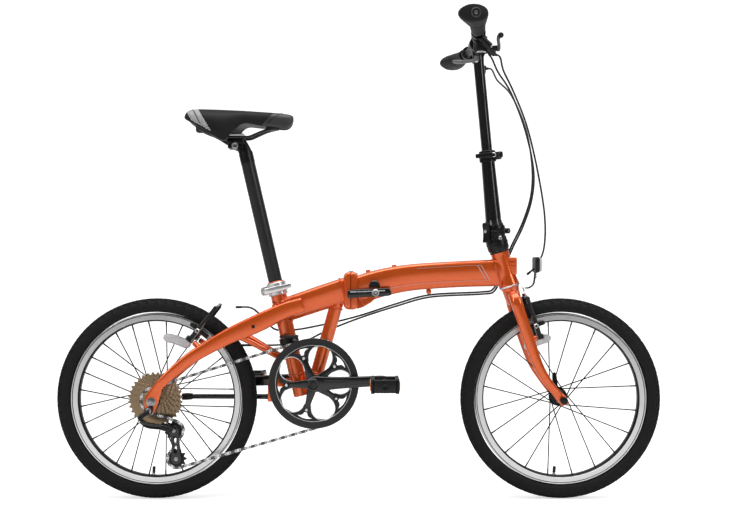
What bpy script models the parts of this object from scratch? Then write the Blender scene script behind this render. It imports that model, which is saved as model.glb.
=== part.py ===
"""Folding bicycle with 20 inch wheels, as separate working pieces.

Units are metres. +X points forward, +Y to the rider's left, +Z up. The origin is on
the ground, midway between the wheels.
"""
import math

import bmesh
import bpy
from mathutils import Vector

# Driving dimensions
WHEELBASE = 0.988
TYRE_RADIUS = 0.245
TYRE_HALF_WIDTH = 0.0198
RIM_RADIUS = 0.2085
RIM_INNER = 0.189
RIM_HALF_WIDTH = 0.012
GAP = 0.0003
SEAT_ANGLE = math.radians(13.04)
STEER_ANGLE = math.radians(16.3)
POST_ANGLE = math.radians(5.34)
CRANK_LENGTH = 0.170
CRANK_RISE = math.radians(3.0)
CHAIN_Y = -0.047
CHAIN_PITCH = 0.0127
RING_TEETH, COG_TEETH, PULLEY_TEETH = 52, 15, 11
BAR_HALF = 0.280

# Reference points
REAR_AXLE = Vector((-WHEELBASE / 2, 0, TYRE_RADIUS))
FRONT_AXLE = Vector((WHEELBASE / 2, 0, TYRE_RADIUS))
CRANK_AXLE = Vector((-0.108, 0, 0.287))
GUIDE_PULLEY = Vector((-0.4435, CHAIN_Y, 0.1738))
TENSION_PULLEY = Vector((-0.4378, CHAIN_Y, 0.1056))
HINGE_PIN = Vector((-0.019, 0.032, 0.5085))
SEAT_FOOT = Vector((-0.146, 0, 0.2794))
SEAT_DIR = Vector((-math.sin(SEAT_ANGLE), 0, math.cos(SEAT_ANGLE)))
STEER_FOOT = Vector((0.3707, 0, 0.5175))
STEER_DIR = Vector((-math.sin(STEER_ANGLE), 0, math.cos(STEER_ANGLE)))
POST_FOOT = Vector((0.3330, 0, 0.6558))
POST_DIR = Vector((-math.sin(POST_ANGLE), 0, math.cos(POST_ANGLE)))
BAR_CENTRE = POST_FOOT + POST_DIR * 0.4577
PEDAL_FOLD_Y = 0.100
X, Y, Z = Vector((1, 0, 0)), Vector((0, 1, 0)), Vector((0, 0, 1))
PIN_ALONG = Vector((1, -1, 0)).normalized()
PIN_OUT = Vector((1, 1, 0)).normalized()
POST_PIN = POST_FOOT + PIN_OUT * 0.0335

FINISHES = {
    "paint": ((0.62, 0.13, 0.02, 1), 0.30, 0.55),
    "black": ((0.020, 0.020, 0.022, 1), 0.45, 0.30),
    "satin": ((0.045, 0.046, 0.050, 1), 0.40, 0.60),
    "silver": ((0.72, 0.72, 0.73, 1), 0.28, 0.95),
    "rubber": ((0.028, 0.028, 0.029, 1), 0.80, 0.0),
    "cover": ((0.024, 0.024, 0.026, 1), 0.65, 0.0),
    "bronze": ((0.52, 0.44, 0.33, 1), 0.35, 0.90),
    "grey": ((0.30, 0.30, 0.31, 1), 0.50, 0.0),
}


def material(key):
    """Return the shared Principled material of one finish."""
    found = bpy.data.materials.get(key)
    if found:
        return found
    colour, roughness, metallic = FINISHES[key]
    made = bpy.data.materials.new(key)
    made.use_nodes = True
    shader = made.node_tree.nodes["Principled BSDF"]
    shader.inputs["Base Color"].default_value = colour
    shader.inputs["Roughness"].default_value = roughness
    shader.inputs["Metallic"].default_value = metallic
    return made


def finish_mesh(name, bm, key):
    """Turn a closed bmesh into a named object with outward faces."""
    bmesh.ops.recalc_face_normals(bm, faces=bm.faces)
    mesh = bpy.data.meshes.new(name)
    bm.to_mesh(mesh)
    bm.free()
    mesh.shade_smooth()
    mesh.set_sharp_from_angle(angle=math.radians(35))
    thing = bpy.data.objects.new(name, mesh)
    bpy.context.scene.collection.objects.link(thing)
    mesh.materials.append(material(key))
    return thing


def across(direction, hint):
    """Return two unit vectors square to a direction; the second leans to the hint."""
    up = (hint - direction * hint.dot(direction)).normalized()
    return direction.cross(up), up


def oval(sides, power):
    """Return the points of a superellipse with unit half axes."""
    points = []
    for step in range(sides):
        turn = 2 * math.pi * (step + 0.5) / sides
        c, s = math.cos(turn), math.sin(turn)
        points.append((math.copysign(abs(c) ** (2 / power), c), math.copysign(abs(s) ** (2 / power), s)))
    return points


def skin(name, rings, key, closed=False):
    """Join rings of equal count into one closed tube with flat ends."""
    bm = bmesh.new()
    made = [[bm.verts.new(point) for point in ring] for ring in rings]
    count = len(made[0])
    pairs = list(zip(made, made[1:])) + ([(made[-1], made[0])] if closed else [])
    for low, high in pairs:
        for step in range(count):
            after = (step + 1) % count
            bm.faces.new((low[step], low[after], high[after], high[step]))
    if not closed:
        bm.faces.new(made[0])
        bm.faces.new(made[-1])
    return finish_mesh(name, bm, key)


def sweep(name, stops, key, sides=12, power=2.0, hint=Z, closed=False):
    """Carry an oval along stops of (point, half width, half height)."""
    outline = oval(sides, power)
    points = [Vector(stop[0]) for stop in stops]
    rings = []
    for number, (_, wide, high) in enumerate(stops):
        before = points[number - 1] if closed or number else points[0]
        after = points[(number + 1) % len(points)] if closed or number < len(points) - 1 else points[-1]
        side, up = across((after - before).normalized(), hint)
        rings.append([points[number] + side * wide * a + up * high * b for a, b in outline])
    return skin(name, rings, key, closed)


def rod(name, start, end, radius, key, sides=12):
    """Make a straight round bar."""
    start, end = Vector(start), Vector(end)
    hint = X if abs((end - start).normalized().x) < 0.7 else Z
    return sweep(name, [(start, radius, radius), (end, radius, radius)], key, sides, hint=hint)


def turned(name, base, direction, profile, key, sides=24, ring=False):
    """Turn a profile of (distance along, radius) about a line through base."""
    direction = Vector(direction).normalized()
    hint = X if abs(direction.x) < 0.7 else Z
    side, up = across(direction, hint)
    rings = []
    for along, radius in profile:
        circle = []
        for step in range(sides):
            turn = 2 * math.pi * step / sides
            circle.append(Vector(base) + direction * along
                          + (side * math.cos(turn) + up * math.sin(turn)) * radius)
        rings.append(circle)
    return skin(name, rings, key, closed=ring)


def block(name, low, high, key):
    """Make a box from its lowest and highest corners."""
    bm = bmesh.new()
    bmesh.ops.create_cube(bm, size=1)
    low, high = Vector(low), Vector(high)
    for vert in bm.verts:
        for axis in range(3):
            vert.co[axis] = high[axis] if vert.co[axis] > 0 else low[axis]
    return finish_mesh(name, bm, key)


def prism(name, outline, depth, key, axis=1):
    """Extrude an outline of 2-D points between two depths along a world axis."""
    others = [number for number in range(3) if number != axis]
    rings = []
    for level in depth:
        ring = []
        for a, b in outline:
            point = Vector((0, 0, 0))
            point[others[0]], point[others[1]], point[axis] = a, b, level
            ring.append(point)
        rings.append(ring)
    return skin(name, rings, key)


def combine(target, others, operation="UNION"):
    """Add or cut each other object from the target with exact Booleans."""
    for other in others:
        change = target.modifiers.new(other.name, "BOOLEAN")
        change.operation = operation
        change.solver = "EXACT"
        change.object = other
        other.hide_render = True
        other.display_type = "WIRE"
    return target


def smooth_route(points, per_span=4):
    """Return points of a Catmull-Rom curve through hand-placed points."""
    points = [Vector(point) for point in points]
    padded = [points[0] * 2 - points[1]] + points + [points[-1] * 2 - points[-2]]
    route = []
    for a, b, c, d in zip(padded, padded[1:], padded[2:], padded[3:]):
        for step in range(per_span):
            t = step / per_span
            route.append(0.5 * (2 * b + (c - a) * t + (2 * a - 5 * b + 4 * c - d) * t * t
                                + (3 * b - a - 3 * c + d) * t ** 3))
    return route + [points[-1]]


def cable(name, points, radius=0.0023):
    """Lay a control cable along a smooth route as a bevelled curve."""
    route = smooth_route(points, 3)
    curve = bpy.data.curves.new(name, "CURVE")
    curve.dimensions = "3D"
    curve.bevel_depth = radius
    curve.bevel_resolution = 1
    curve.use_fill_caps = True
    spline = curve.splines.new("POLY")
    spline.points.add(len(route) - 1)
    for slot, point in zip(spline.points, route):
        slot.co = (*point, 1)
    curve.materials.append(material("black"))
    thing = bpy.data.objects.new(name, curve)
    bpy.context.scene.collection.objects.link(thing)
    return thing


def seat_at(along, side=0.0, ahead=0.0):
    """Return a point at a distance up the seat tube line."""
    return SEAT_FOOT + SEAT_DIR * along + Y * side + Y.cross(SEAT_DIR) * ahead


def steer_at(along, side=0.0, ahead=0.0):
    """Return a point at a distance up the steering line."""
    return STEER_FOOT + STEER_DIR * along + Y * side + Y.cross(STEER_DIR) * ahead


def post_at(along, side=0.0, ahead=0.0):
    """Return a point at a distance up the handlepost line."""
    return POST_FOOT + POST_DIR * along + Y * side + Y.cross(POST_DIR) * ahead


def pitch_radius(teeth):
    """Return the radius of a sprocket's chain line."""
    return CHAIN_PITCH / (2 * math.sin(math.pi / teeth))


def wheel(end, axle, hub_half, spokes):
    """Build a tyre, a rim and a hub whose spokes grow from its flanges."""
    section = []
    for step in range(9):
        turn = math.radians(-128 + 32 * step)
        section.append((TYRE_HALF_WIDTH * math.sin(turn), 0.2252 + 0.0198 * math.cos(turn)))
    section = [(a, max(r, RIM_RADIUS + GAP)) for a, r in section]
    turned(f"{end}_tyre", axle, Y, section, "rubber", sides=48, ring=True)
    w = RIM_HALF_WIDTH
    rim = [(-w, RIM_RADIUS), (-w, 0.193), (-0.006, RIM_INNER), (0.006, RIM_INNER), (w, 0.193), (w, RIM_RADIUS)]
    turned(f"{end}_rim", axle, Y, rim, "silver", sides=48, ring=True)

    per_flange = spokes // 2
    count = per_flange * 2
    flange = hub_half - 0.008 if end == "front" else 0.034
    profile = [(-hub_half, 0.0052), (-hub_half, 0.011), (-flange - 0.0016, 0.0125), (-flange - 0.0015, 0.022),
               (-flange + 0.0015, 0.022), (-flange + 0.002, 0.014), (flange - 0.002, 0.014),
               (flange - 0.0015, 0.022), (flange + 0.0015, 0.022), (flange + 0.0016, 0.0125),
               (hub_half, 0.011), (hub_half, 0.0052)]
    if end == "rear":
        profile[:6] = [(-0.0203, 0.0052), (-0.0203, 0.013), (-0.0202, 0.015), (-0.0201, 0.022), (-0.0172, 0.022), (-0.0168, 0.014)]
    bm = bmesh.new()
    rings = []
    for along, radius in profile:
        turns = [2 * math.pi * step / count for step in range(count)]
        rings.append([bm.verts.new(axle + Vector((math.cos(t) * radius, along, math.sin(t) * radius)))
                      for t in turns])
    grown = []
    for number in range(len(rings)):
        low, high = rings[number], rings[(number + 1) % len(rings)]
        for step in range(count):
            after = (step + 1) % count
            face = bm.faces.new((low[step], low[after], high[after], high[step]))
            offset = 0 if number < 6 else 1
            if number in (3, 7) and step % 2 == offset:
                grown.append(face)
    bmesh.ops.recalc_face_normals(bm, faces=bm.faces)
    reach = RIM_INNER - 0.0012
    for face in grown:
        fresh = bmesh.ops.extrude_discrete_faces(bm, faces=[face])["faces"][0]
        centre = fresh.calc_center_median() - axle
        outward = Vector((centre.x, 0, centre.z)).normalized()
        lean = 0.004 if centre.y > 0 else -0.004
        middle = axle + outward * reach + Y * lean
        tangent = outward.cross(Y)
        for vert in fresh.verts:
            offset = vert.co - (axle + centre)
            vert.co = middle + tangent * math.copysign(0.0012, offset.dot(tangent)) \
                + Y * math.copysign(0.0012, offset.y)
    finish_mesh(f"{end}_hub", bm, "black")


def arm_line(sign):
    """Return the stops of one rear arm, dropout to mid beam."""
    return [((-0.487, sign * 0.0700, 0.268), 0.0030, 0.0100), ((-0.4650, sign * 0.0690, 0.2950), 0.0050, 0.0115),
            ((-0.3896, sign * 0.0560, 0.3567), 0.0085, 0.0150), ((-0.3160, sign * 0.0440, 0.3984), 0.0090, 0.0185),
            ((-0.2497, sign * 0.0370, 0.4280), 0.0095, 0.0215), ((-0.1810, sign * 0.0320, 0.4600), 0.0100, 0.0195),
            ((-0.1348, sign * 0.0290, 0.4750), 0.0100, 0.0180)]


def rear_frame():
    """Build the welded rear half: beam stub, seat tube, arms, dropouts, shell and struts."""
    beam = sweep("rear_frame", [((-0.1950, 0, 0.4560), 0.0215, 0.0290), ((-0.1370, 0, 0.4750), 0.0225, 0.0300),
                                ((-0.0360, 0, 0.5090), 0.0225, 0.0310)], "paint", sides=16, power=3.4)
    joined = [block("rear_plate", (-0.0365, -0.0285, 0.4635), (-0.0194, 0.0225, 0.5535), "paint"),
              block("rear_web", (-0.0360, 0.0190, 0.4940), (-0.0201, 0.0330, 0.5230), "paint"),
              rod("rear_knuckle", (HINGE_PIN.x, HINGE_PIN.y, 0.4942), (HINGE_PIN.x, HINGE_PIN.y, 0.5228),
                  0.0085, "paint", 16),
              rod("seat_tube", seat_at(-0.028), seat_at(0.259), 0.0197, "paint", 20),
              rod("front_strut", (-0.0520, 0, 0.4850), (-0.1070, 0, 0.2900), 0.0160, "paint", 14),
              rod("bracket_shell", (CRANK_AXLE.x, -0.034, CRANK_AXLE.z), (CRANK_AXLE.x, 0.034, CRANK_AXLE.z),
                  0.0205, "paint", 20),
              block("stand_plate", (-0.2100, 0.0060, 0.2720), (-0.1420, 0.0120, 0.2920), "paint"),
              block("stand_ear", (-0.2240, 0.0060, 0.2350), (-0.2020, 0.0300, 0.2900), "paint")]
    for sign in (-1, 1):
        side = "right" if sign < 0 else "left"
        joined.append(sweep(f"arm_{side}", arm_line(sign), "paint", sides=12, power=3.0))
        joined.append(sweep(f"dropout_{side}", [((-0.4700, sign * 0.0700, 0.2900), 0.0030, 0.0110),
                                                 ((-0.4860, sign * 0.0700, 0.2660), 0.0030, 0.0140),
                                                 ((-0.4940, sign * 0.0700, 0.2450), 0.0030, 0.0160),
                                                 ((-0.4980, sign * 0.0700, 0.2200), 0.0030, 0.0110)],
                            "paint", sides=8, power=4.0, hint=X))
        joined.append(rod(f"lower_strut_{side}", (-0.2820, sign * 0.0360, 0.4000), (-0.1850, sign * 0.0050, 0.3420),
                          0.0080, "paint", 8))
        joined.append(rod(f"brake_post_{side}", (-0.3840, sign * 0.0520, 0.3740), (-0.3960, sign * 0.0420, 0.3830),
                          0.0065, "paint", 8))
    cutters = [rod("seat_bore", seat_at(-0.05), seat_at(0.30), 0.0174, "paint", 20),
               rod("shell_bore", (CRANK_AXLE.x, -0.05, CRANK_AXLE.z), (CRANK_AXLE.x, 0.05, CRANK_AXLE.z),
                   0.0160, "paint", 20),
               rod("pin_bore", (HINGE_PIN.x, HINGE_PIN.y, 0.45), (HINGE_PIN.x, HINGE_PIN.y, 0.57),
                   0.0044, "paint", 12),
               rod("rear_axle_bore", (REAR_AXLE.x, -0.09, REAR_AXLE.z), (REAR_AXLE.x, 0.09, REAR_AXLE.z),
                   0.0053, "paint", 12)]
    combine(beam, joined)
    combine(beam, cutters, "DIFFERENCE")
    rod("frame_hinge_pin", (HINGE_PIN.x, HINGE_PIN.y, 0.4620), (HINGE_PIN.x, HINGE_PIN.y, 0.5550),
        0.0040, "silver", 12)
    x, z = CRANK_AXLE.x, CRANK_AXLE.z
    turned("bottom_bracket", (x, 0, z), Y, [(-0.0335, 0.0097), (-0.0335, 0.0156), (0.0335, 0.0156),
                                            (0.0335, 0.0097)], "satin", 20, ring=True)
    nuts = [(-0.0820, 0.0050), (-0.0820, 0.0090), (-0.0735, 0.0100), (-0.0734, 0.0048),
            (0.0734, 0.0048), (0.0735, 0.0100), (0.0820, 0.0090), (0.0820, 0.0050)]
    turned("rear_axle", REAR_AXLE, Y, nuts, "satin", 12)


def seat_parts():
    """Build the seat collar and lever, chain guide, seat post, clamp, rails and saddle."""
    collar = turned("seat_clamp", SEAT_FOOT, SEAT_DIR, [(0.2240, 0.0201), (0.2240, 0.0235), (0.2560, 0.0235),
                                                        (0.2560, 0.0201)], "silver", 20, ring=True)
    ears = sweep("seat_ears", [(seat_at(0.2290, 0, -0.0310), 0.0100, 0.0090),
                               (seat_at(0.2510, 0, -0.0310), 0.0100, 0.0090)], "silver", 8, 4.0, hint=X)
    combine(collar, [ears])
    sweep("seat_clamp_lever", [(seat_at(0.2400, -0.0150, -0.0360), 0.0040, 0.0080),
                               (seat_at(0.2400, -0.0280, -0.0240), 0.0035, 0.0075),
                               (seat_at(0.2400, -0.0300, 0.0000), 0.0030, 0.0070),
                               (seat_at(0.2400, -0.0300, 0.0380), 0.0030, 0.0060)], "black", 8, 3.0, hint=SEAT_DIR)
    guide = turned("chain_guide", SEAT_FOOT, SEAT_DIR, [(0.0980, 0.0201), (0.0980, 0.0235), (0.1180, 0.0235),
                                                        (0.1180, 0.0201)], "black", 20, ring=True)
    fin = block("guide_fin", (-0.1900, -0.0560, 0.3960), (-0.1460, -0.0215, 0.4020), "black")
    combine(guide, [fin])

    turned("seatpost", SEAT_FOOT, SEAT_DIR, [(0.030, 0.0150), (0.032, 0.0169), (0.575, 0.0169), (0.585, 0.0150)],
           "satin", 20)
    flange, web, top = 0.026, 0.015, 0.0272
    clamp = [(-flange, 0.8560), (-flange, 0.8783), (-web, 0.8783), (-web, 0.8864), (-top, 0.8864), (-top, 0.8907),
             (top, 0.8907), (top, 0.8864), (web, 0.8864), (web, 0.8783), (flange, 0.8783), (flange, 0.8560)]
    prism("saddle_clamp", clamp, (-0.3220, -0.2780), "black", axis=0)
    half = [(-0.372, 0.0245, 0.8975), (-0.345, 0.0230, 0.8850), (-0.325, 0.0220, 0.8823), (-0.275, 0.0220, 0.8823),
            (-0.250, 0.0205, 0.8900), (-0.226, 0.0170, 0.9000), (-0.204, 0.0085, 0.9035), (-0.200, 0.0, 0.9036)]
    path = [(x, -y, z) for x, y, z in half] + [(x, y, z) for x, y, z in reversed(half[:-1])]
    sweep("saddle_rails", [(point, 0.0034, 0.0034) for point in path], "black", 8)

    stations = [(-0.4190, 0.052, 0.9340, 0.9260, 0.9262), (-0.4080, 0.071, 0.9480, 0.9180, 0.9210),
                (-0.3800, 0.077, 0.9500, 0.9000, 0.9130), (-0.3500, 0.076, 0.9495, 0.8830, 0.9110),
                (-0.3230, 0.070, 0.9490, 0.8700, 0.9090), (-0.3000, 0.060, 0.9480, 0.8960, 0.9090),
                (-0.2767, 0.048, 0.9470, 0.9140, 0.9150), (-0.2400, 0.034, 0.9455, 0.9080, 0.9120),
                (-0.2080, 0.026, 0.9440, 0.9060, 0.9110), (-0.1795, 0.023, 0.9410, 0.9040, 0.9080),
                (-0.1600, 0.016, 0.9375, 0.9240, 0.9250)]
    rings = []
    for x, w, top_z, edge, under in stations:
        half = [(0.0, top_z), (0.5 * w, top_z - 0.002), (0.85 * w, top_z - 0.008), (w, 0.45 * top_z + 0.55 * edge),
                (0.97 * w, edge), (0.80 * w, edge + 0.0004), (0.55 * w, under), (0.0, under + 0.0002)]
        outline = half + [(-y, z) for y, z in reversed(half[1:-1])]
        rings.append([Vector((x, y, z)) for y, z in outline])
    skin("saddle", rings, "cover")


def front_frame():
    """Build the main beam with its hinge half, head tube, bosses and luggage socket."""
    stops = [((-0.0010, 0, 0.5085), 0.0225, 0.0350), ((0.0376, 0, 0.5240), 0.0225, 0.0340),
             ((0.1505, 0, 0.5450), 0.0220, 0.0320), ((0.3500, 0, 0.5530), 0.0200, 0.0330)]
    beam = sweep("front_frame", stops, "paint", sides=16, power=3.4)
    wall = 0.0219
    head = turned("head_tube", STEER_FOOT, STEER_DIR, [(0.0, 0.0250), (0.012, 0.0240), (0.030, wall),
                                                       (0.080, wall), (0.092, 0.0230)], "paint", 20)
    joined = [head,
              block("front_plate", (-0.0186, -0.0285, 0.4635), (-0.0005, 0.0225, 0.5535), "paint"),
              block("luggage_socket", (0.3560, -0.0170, 0.5480), (0.3860, 0.0170, 0.5900), "paint"),
              rod("bottle_boss_rear", (0.0250, 0, 0.5400), (0.0225, 0, 0.5600), 0.0050, "paint", 10),
              rod("bottle_boss_front", (0.0880, 0, 0.5500), (0.0865, 0, 0.5720), 0.0050, "paint", 10),
              prism("beam_gusset", [(-0.0010, 0.4640), (0.0400, 0.4880), (0.0350, 0.5000), (-0.0010, 0.5000)],
                    (-0.0160, 0.0160), "paint")]
    for part, low, high in (("low", 0.4640, 0.4936), ("high", 0.5234, 0.5530)):
        joined.append(rod(f"front_knuckle_{part}", (HINGE_PIN.x, HINGE_PIN.y, low),
                          (HINGE_PIN.x, HINGE_PIN.y, high), 0.0085, "paint", 16))
        joined.append(block(f"front_web_{part}", (-0.0179, 0.0190, low + 0.001), (-0.0030, 0.0330, high - 0.001),
                            "paint"))
    cutters = [rod("steer_bore", steer_at(-0.02), steer_at(0.12), 0.0152, "paint", 20),
               rod("front_pin_bore", (HINGE_PIN.x, HINGE_PIN.y, 0.45), (HINGE_PIN.x, HINGE_PIN.y, 0.57),
                   0.0044, "paint", 12)]
    combine(beam, joined)
    combine(beam, cutters, "DIFFERENCE")
    sweep("frame_latch_lever", [((-0.0272, -0.0345, 0.5030), 0.0040, 0.0100), ((0.0100, -0.0350, 0.5035), 0.0050, 0.0100),
                                ((0.0500, -0.0345, 0.5050), 0.0050, 0.0100), ((0.0780, -0.0330, 0.5070), 0.0045, 0.0095)],
          "black", 10, 3.0)
    dome = [(0.0250, 0.5170)]
    for step in range(7):
        turn = math.radians(180 - 30 * step)
        dome.append((0.0385 + 0.0135 * math.cos(turn), 0.5200 + 0.0140 * math.sin(turn)))
    dome.append((0.0520, 0.5170))
    prism("safety_catch", dome, (-0.0370, -0.0290), "black")


def fork_parts():
    """Build the fork, the folding base above the head tube and the front axle."""
    fork = turned("fork", STEER_FOOT, STEER_DIR, [(-0.0400, 0.0150), (-0.0340, 0.0190), (-0.0080, 0.0205),
                                                  (-0.0003, 0.0230), (0.0, 0.0148), (0.0921, 0.0148)],
                  "paint", 20)
    joined = []
    bores = [rod("front_axle_bore", FRONT_AXLE - Y * 0.08, FRONT_AXLE + Y * 0.08, 0.0050, "paint", 12)]
    for sign in (-1, 1):
        side = "right" if sign < 0 else "left"
        path = [(steer_at(-0.018), 0.0140, 0.0135), (steer_at(-0.022, sign * 0.030), 0.0140, 0.0135),
                (steer_at(-0.034, sign * 0.044), 0.0120, 0.0140), (steer_at(-0.060, sign * 0.047), 0.0100, 0.0140),
                ((0.4092, sign * 0.0470, 0.3957), 0.0095, 0.0135), ((0.4330, sign * 0.0460, 0.3300), 0.0085, 0.0115),
                ((0.4580, sign * 0.0440, 0.2880), 0.0065, 0.0095), ((0.4800, sign * 0.0412, 0.2600), 0.0036, 0.0100),
                ((0.4930, sign * 0.0410, 0.2450), 0.0033, 0.0115), ((0.4990, sign * 0.0410, 0.2340), 0.0033, 0.0090)]
        joined.append(sweep(f"fork_leg_{side}", path, "paint", 12, 2.3, hint=Vector((0.96, 0, 0.28))))
        boss = Vector((0.4180, sign * 0.0430, 0.3925))
        joined.append(rod(f"fork_boss_{side}", boss, boss + Vector((0.0120, 0, 0.0035)), 0.0065, "paint", 8))
    combine(fork, joined)
    combine(fork, bores, "DIFFERENCE")

    base = turned("handlepost_base", STEER_FOOT, STEER_DIR, [(0.0926, 0.0235), (0.0980, 0.0262), (0.1240, 0.0262),
                                                             (0.1340, 0.0262)], "black", 16)
    top = turned("base_top", POST_FOOT, Z, [(-0.0220, 0.0240), (-0.0120, 0.0262), (-0.0002, 0.0262)], "black", 16)
    pieces = [top, knuckle("base_knuckle", -0.0085, 0.0085, below=True)]
    high = block("base_trim", (0.28, -0.06, 0.6556), (0.42, 0.06, 0.70), "black")
    combine(base, pieces[:1])
    combine(base, [high], "DIFFERENCE")
    combine(base, pieces[1:])
    combine(base, [rod("base_pin_bore", POST_PIN - PIN_ALONG * 0.04, POST_PIN + PIN_ALONG * 0.04, 0.0034,
                       "black", 10)], "DIFFERENCE")
    rod("handlepost_pin", POST_PIN - PIN_ALONG * 0.0200, POST_PIN + PIN_ALONG * 0.0200, 0.0030, "silver", 10)
    latch = POST_FOOT - PIN_OUT * 0.0310
    sweep("handlepost_latch", [(latch + Z * -0.0300, 0.0110, 0.0040), (latch + Z * -0.0050, 0.0095, 0.0040),
                               (latch + Z * 0.0120 - PIN_OUT * 0.002, 0.0100, 0.0055),
                               (latch + Z * 0.0180 - PIN_OUT * 0.004, 0.0080, 0.0040)],
          "black", 8, 3.0, hint=PIN_OUT)
    skewer = [(-0.0560, 0.0040), (-0.0560, 0.0090), (-0.0462, 0.0095), (-0.0461, 0.0045),
              (0.0461, 0.0045), (0.0462, 0.0095), (0.0600, 0.0090), (0.0600, 0.0040)]
    turned("front_axle", FRONT_AXLE, Y, skewer, "satin", 12)
    sweep("front_qr_lever", [((0.4940, 0.0665, 0.2360), 0.0080, 0.0040), ((0.4945, 0.0675, 0.2600), 0.0070, 0.0035),
                             ((0.4930, 0.0690, 0.2900), 0.0060, 0.0028), ((0.4915, 0.0700, 0.3000), 0.0045, 0.0025)],
          "black", 8, 3.0, hint=Y)


def knuckle(name, low, high, below):
    """Make one knuckle of the handlepost hinge with the web that carries it."""
    sign = -1 if below else 1
    barrel = rod(name, POST_PIN + PIN_ALONG * low, POST_PIN + PIN_ALONG * high, 0.0068, "black", 12)
    middle = POST_PIN + PIN_ALONG * (low + high) / 2 + Z * sign * 0.0036
    half = (high - low) / 2 - 0.0004
    web = sweep(f"{name}_web", [(middle - PIN_OUT * 0.0160, half, 0.0030), (middle, half, 0.0030)], "black", 8, 4.0)
    combine(barrel, [web])
    return barrel


def handlepost_parts():
    """Build the lower post with its hinge flange, the height clamp and the sliding inner post."""
    post = turned("handlepost", POST_FOOT, POST_DIR, [(0.0003, 0.0225), (0.0160, 0.0235), (0.0240, 0.0192),
                                                      (0.1770, 0.0160)], "black", 20)
    trim = block("post_trim", (0.28, -0.06, 0.60), (0.42, 0.06, 0.6560), "black")
    combine(post, [trim], "DIFFERENCE")
    combine(post, [knuckle("post_knuckle_a", -0.0190, -0.0089, below=False),
                   knuckle("post_knuckle_b", 0.0089, 0.0190, below=False)])
    combine(post, [rod("post_bore", post_at(0.0300), post_at(0.30), 0.0134, "black", 20),
                   rod("post_pin_bore", POST_PIN - PIN_ALONG * 0.04, POST_PIN + PIN_ALONG * 0.04, 0.0034,
                       "black", 10)], "DIFFERENCE")
    collar = turned("height_clamp", POST_FOOT, POST_DIR, [(0.1690, 0.0169), (0.1690, 0.0205), (0.1775, 0.0205),
                                                          (0.1960, 0.0200), (0.1960, 0.0137), (0.1775, 0.0137),
                                                          (0.1774, 0.0169)], "black", 20, ring=True)
    ears = sweep("height_ears", [(post_at(0.1740, 0, 0.0270), 0.0090, 0.0080),
                                 (post_at(0.1910, 0, 0.0270), 0.0090, 0.0080)], "black", 8, 4.0, hint=X)
    combine(collar, [ears])
    sweep("height_lever", [(post_at(0.1830, -0.0150, 0.0330), 0.0040, 0.0075),
                           (post_at(0.1830, -0.0250, 0.0220), 0.0035, 0.0070),
                           (post_at(0.1830, -0.0270, 0.0000), 0.0030, 0.0065),
                           (post_at(0.1830, -0.0250, -0.0320), 0.0030, 0.0055)], "black", 8, 3.0, hint=POST_DIR)
    inner = rod("handlepost_inner", post_at(0.1360), BAR_CENTRE - POST_DIR * 0.0100, 0.0130, "black", 20)
    head = rod("bar_clamp", BAR_CENTRE - Y * 0.0200, BAR_CENTRE + Y * 0.0200, 0.0200, "black", 16)
    hole = rod("bar_hole", BAR_CENTRE - Y * 0.0400, BAR_CENTRE + Y * 0.0400, 0.0133, "black", 16)
    combine(inner, [head])
    combine(inner, [hole], "DIFFERENCE")


def bar_at(along, drop=0.0, ahead=0.0):
    """Return a point on the swept-back handlebar; along is signed, left positive."""
    reach = max(abs(along) - 0.040, 0.0) / (BAR_HALF - 0.040)
    return BAR_CENTRE + Vector((-0.030 * reach + ahead, along, 0.010 * reach - drop))


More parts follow.
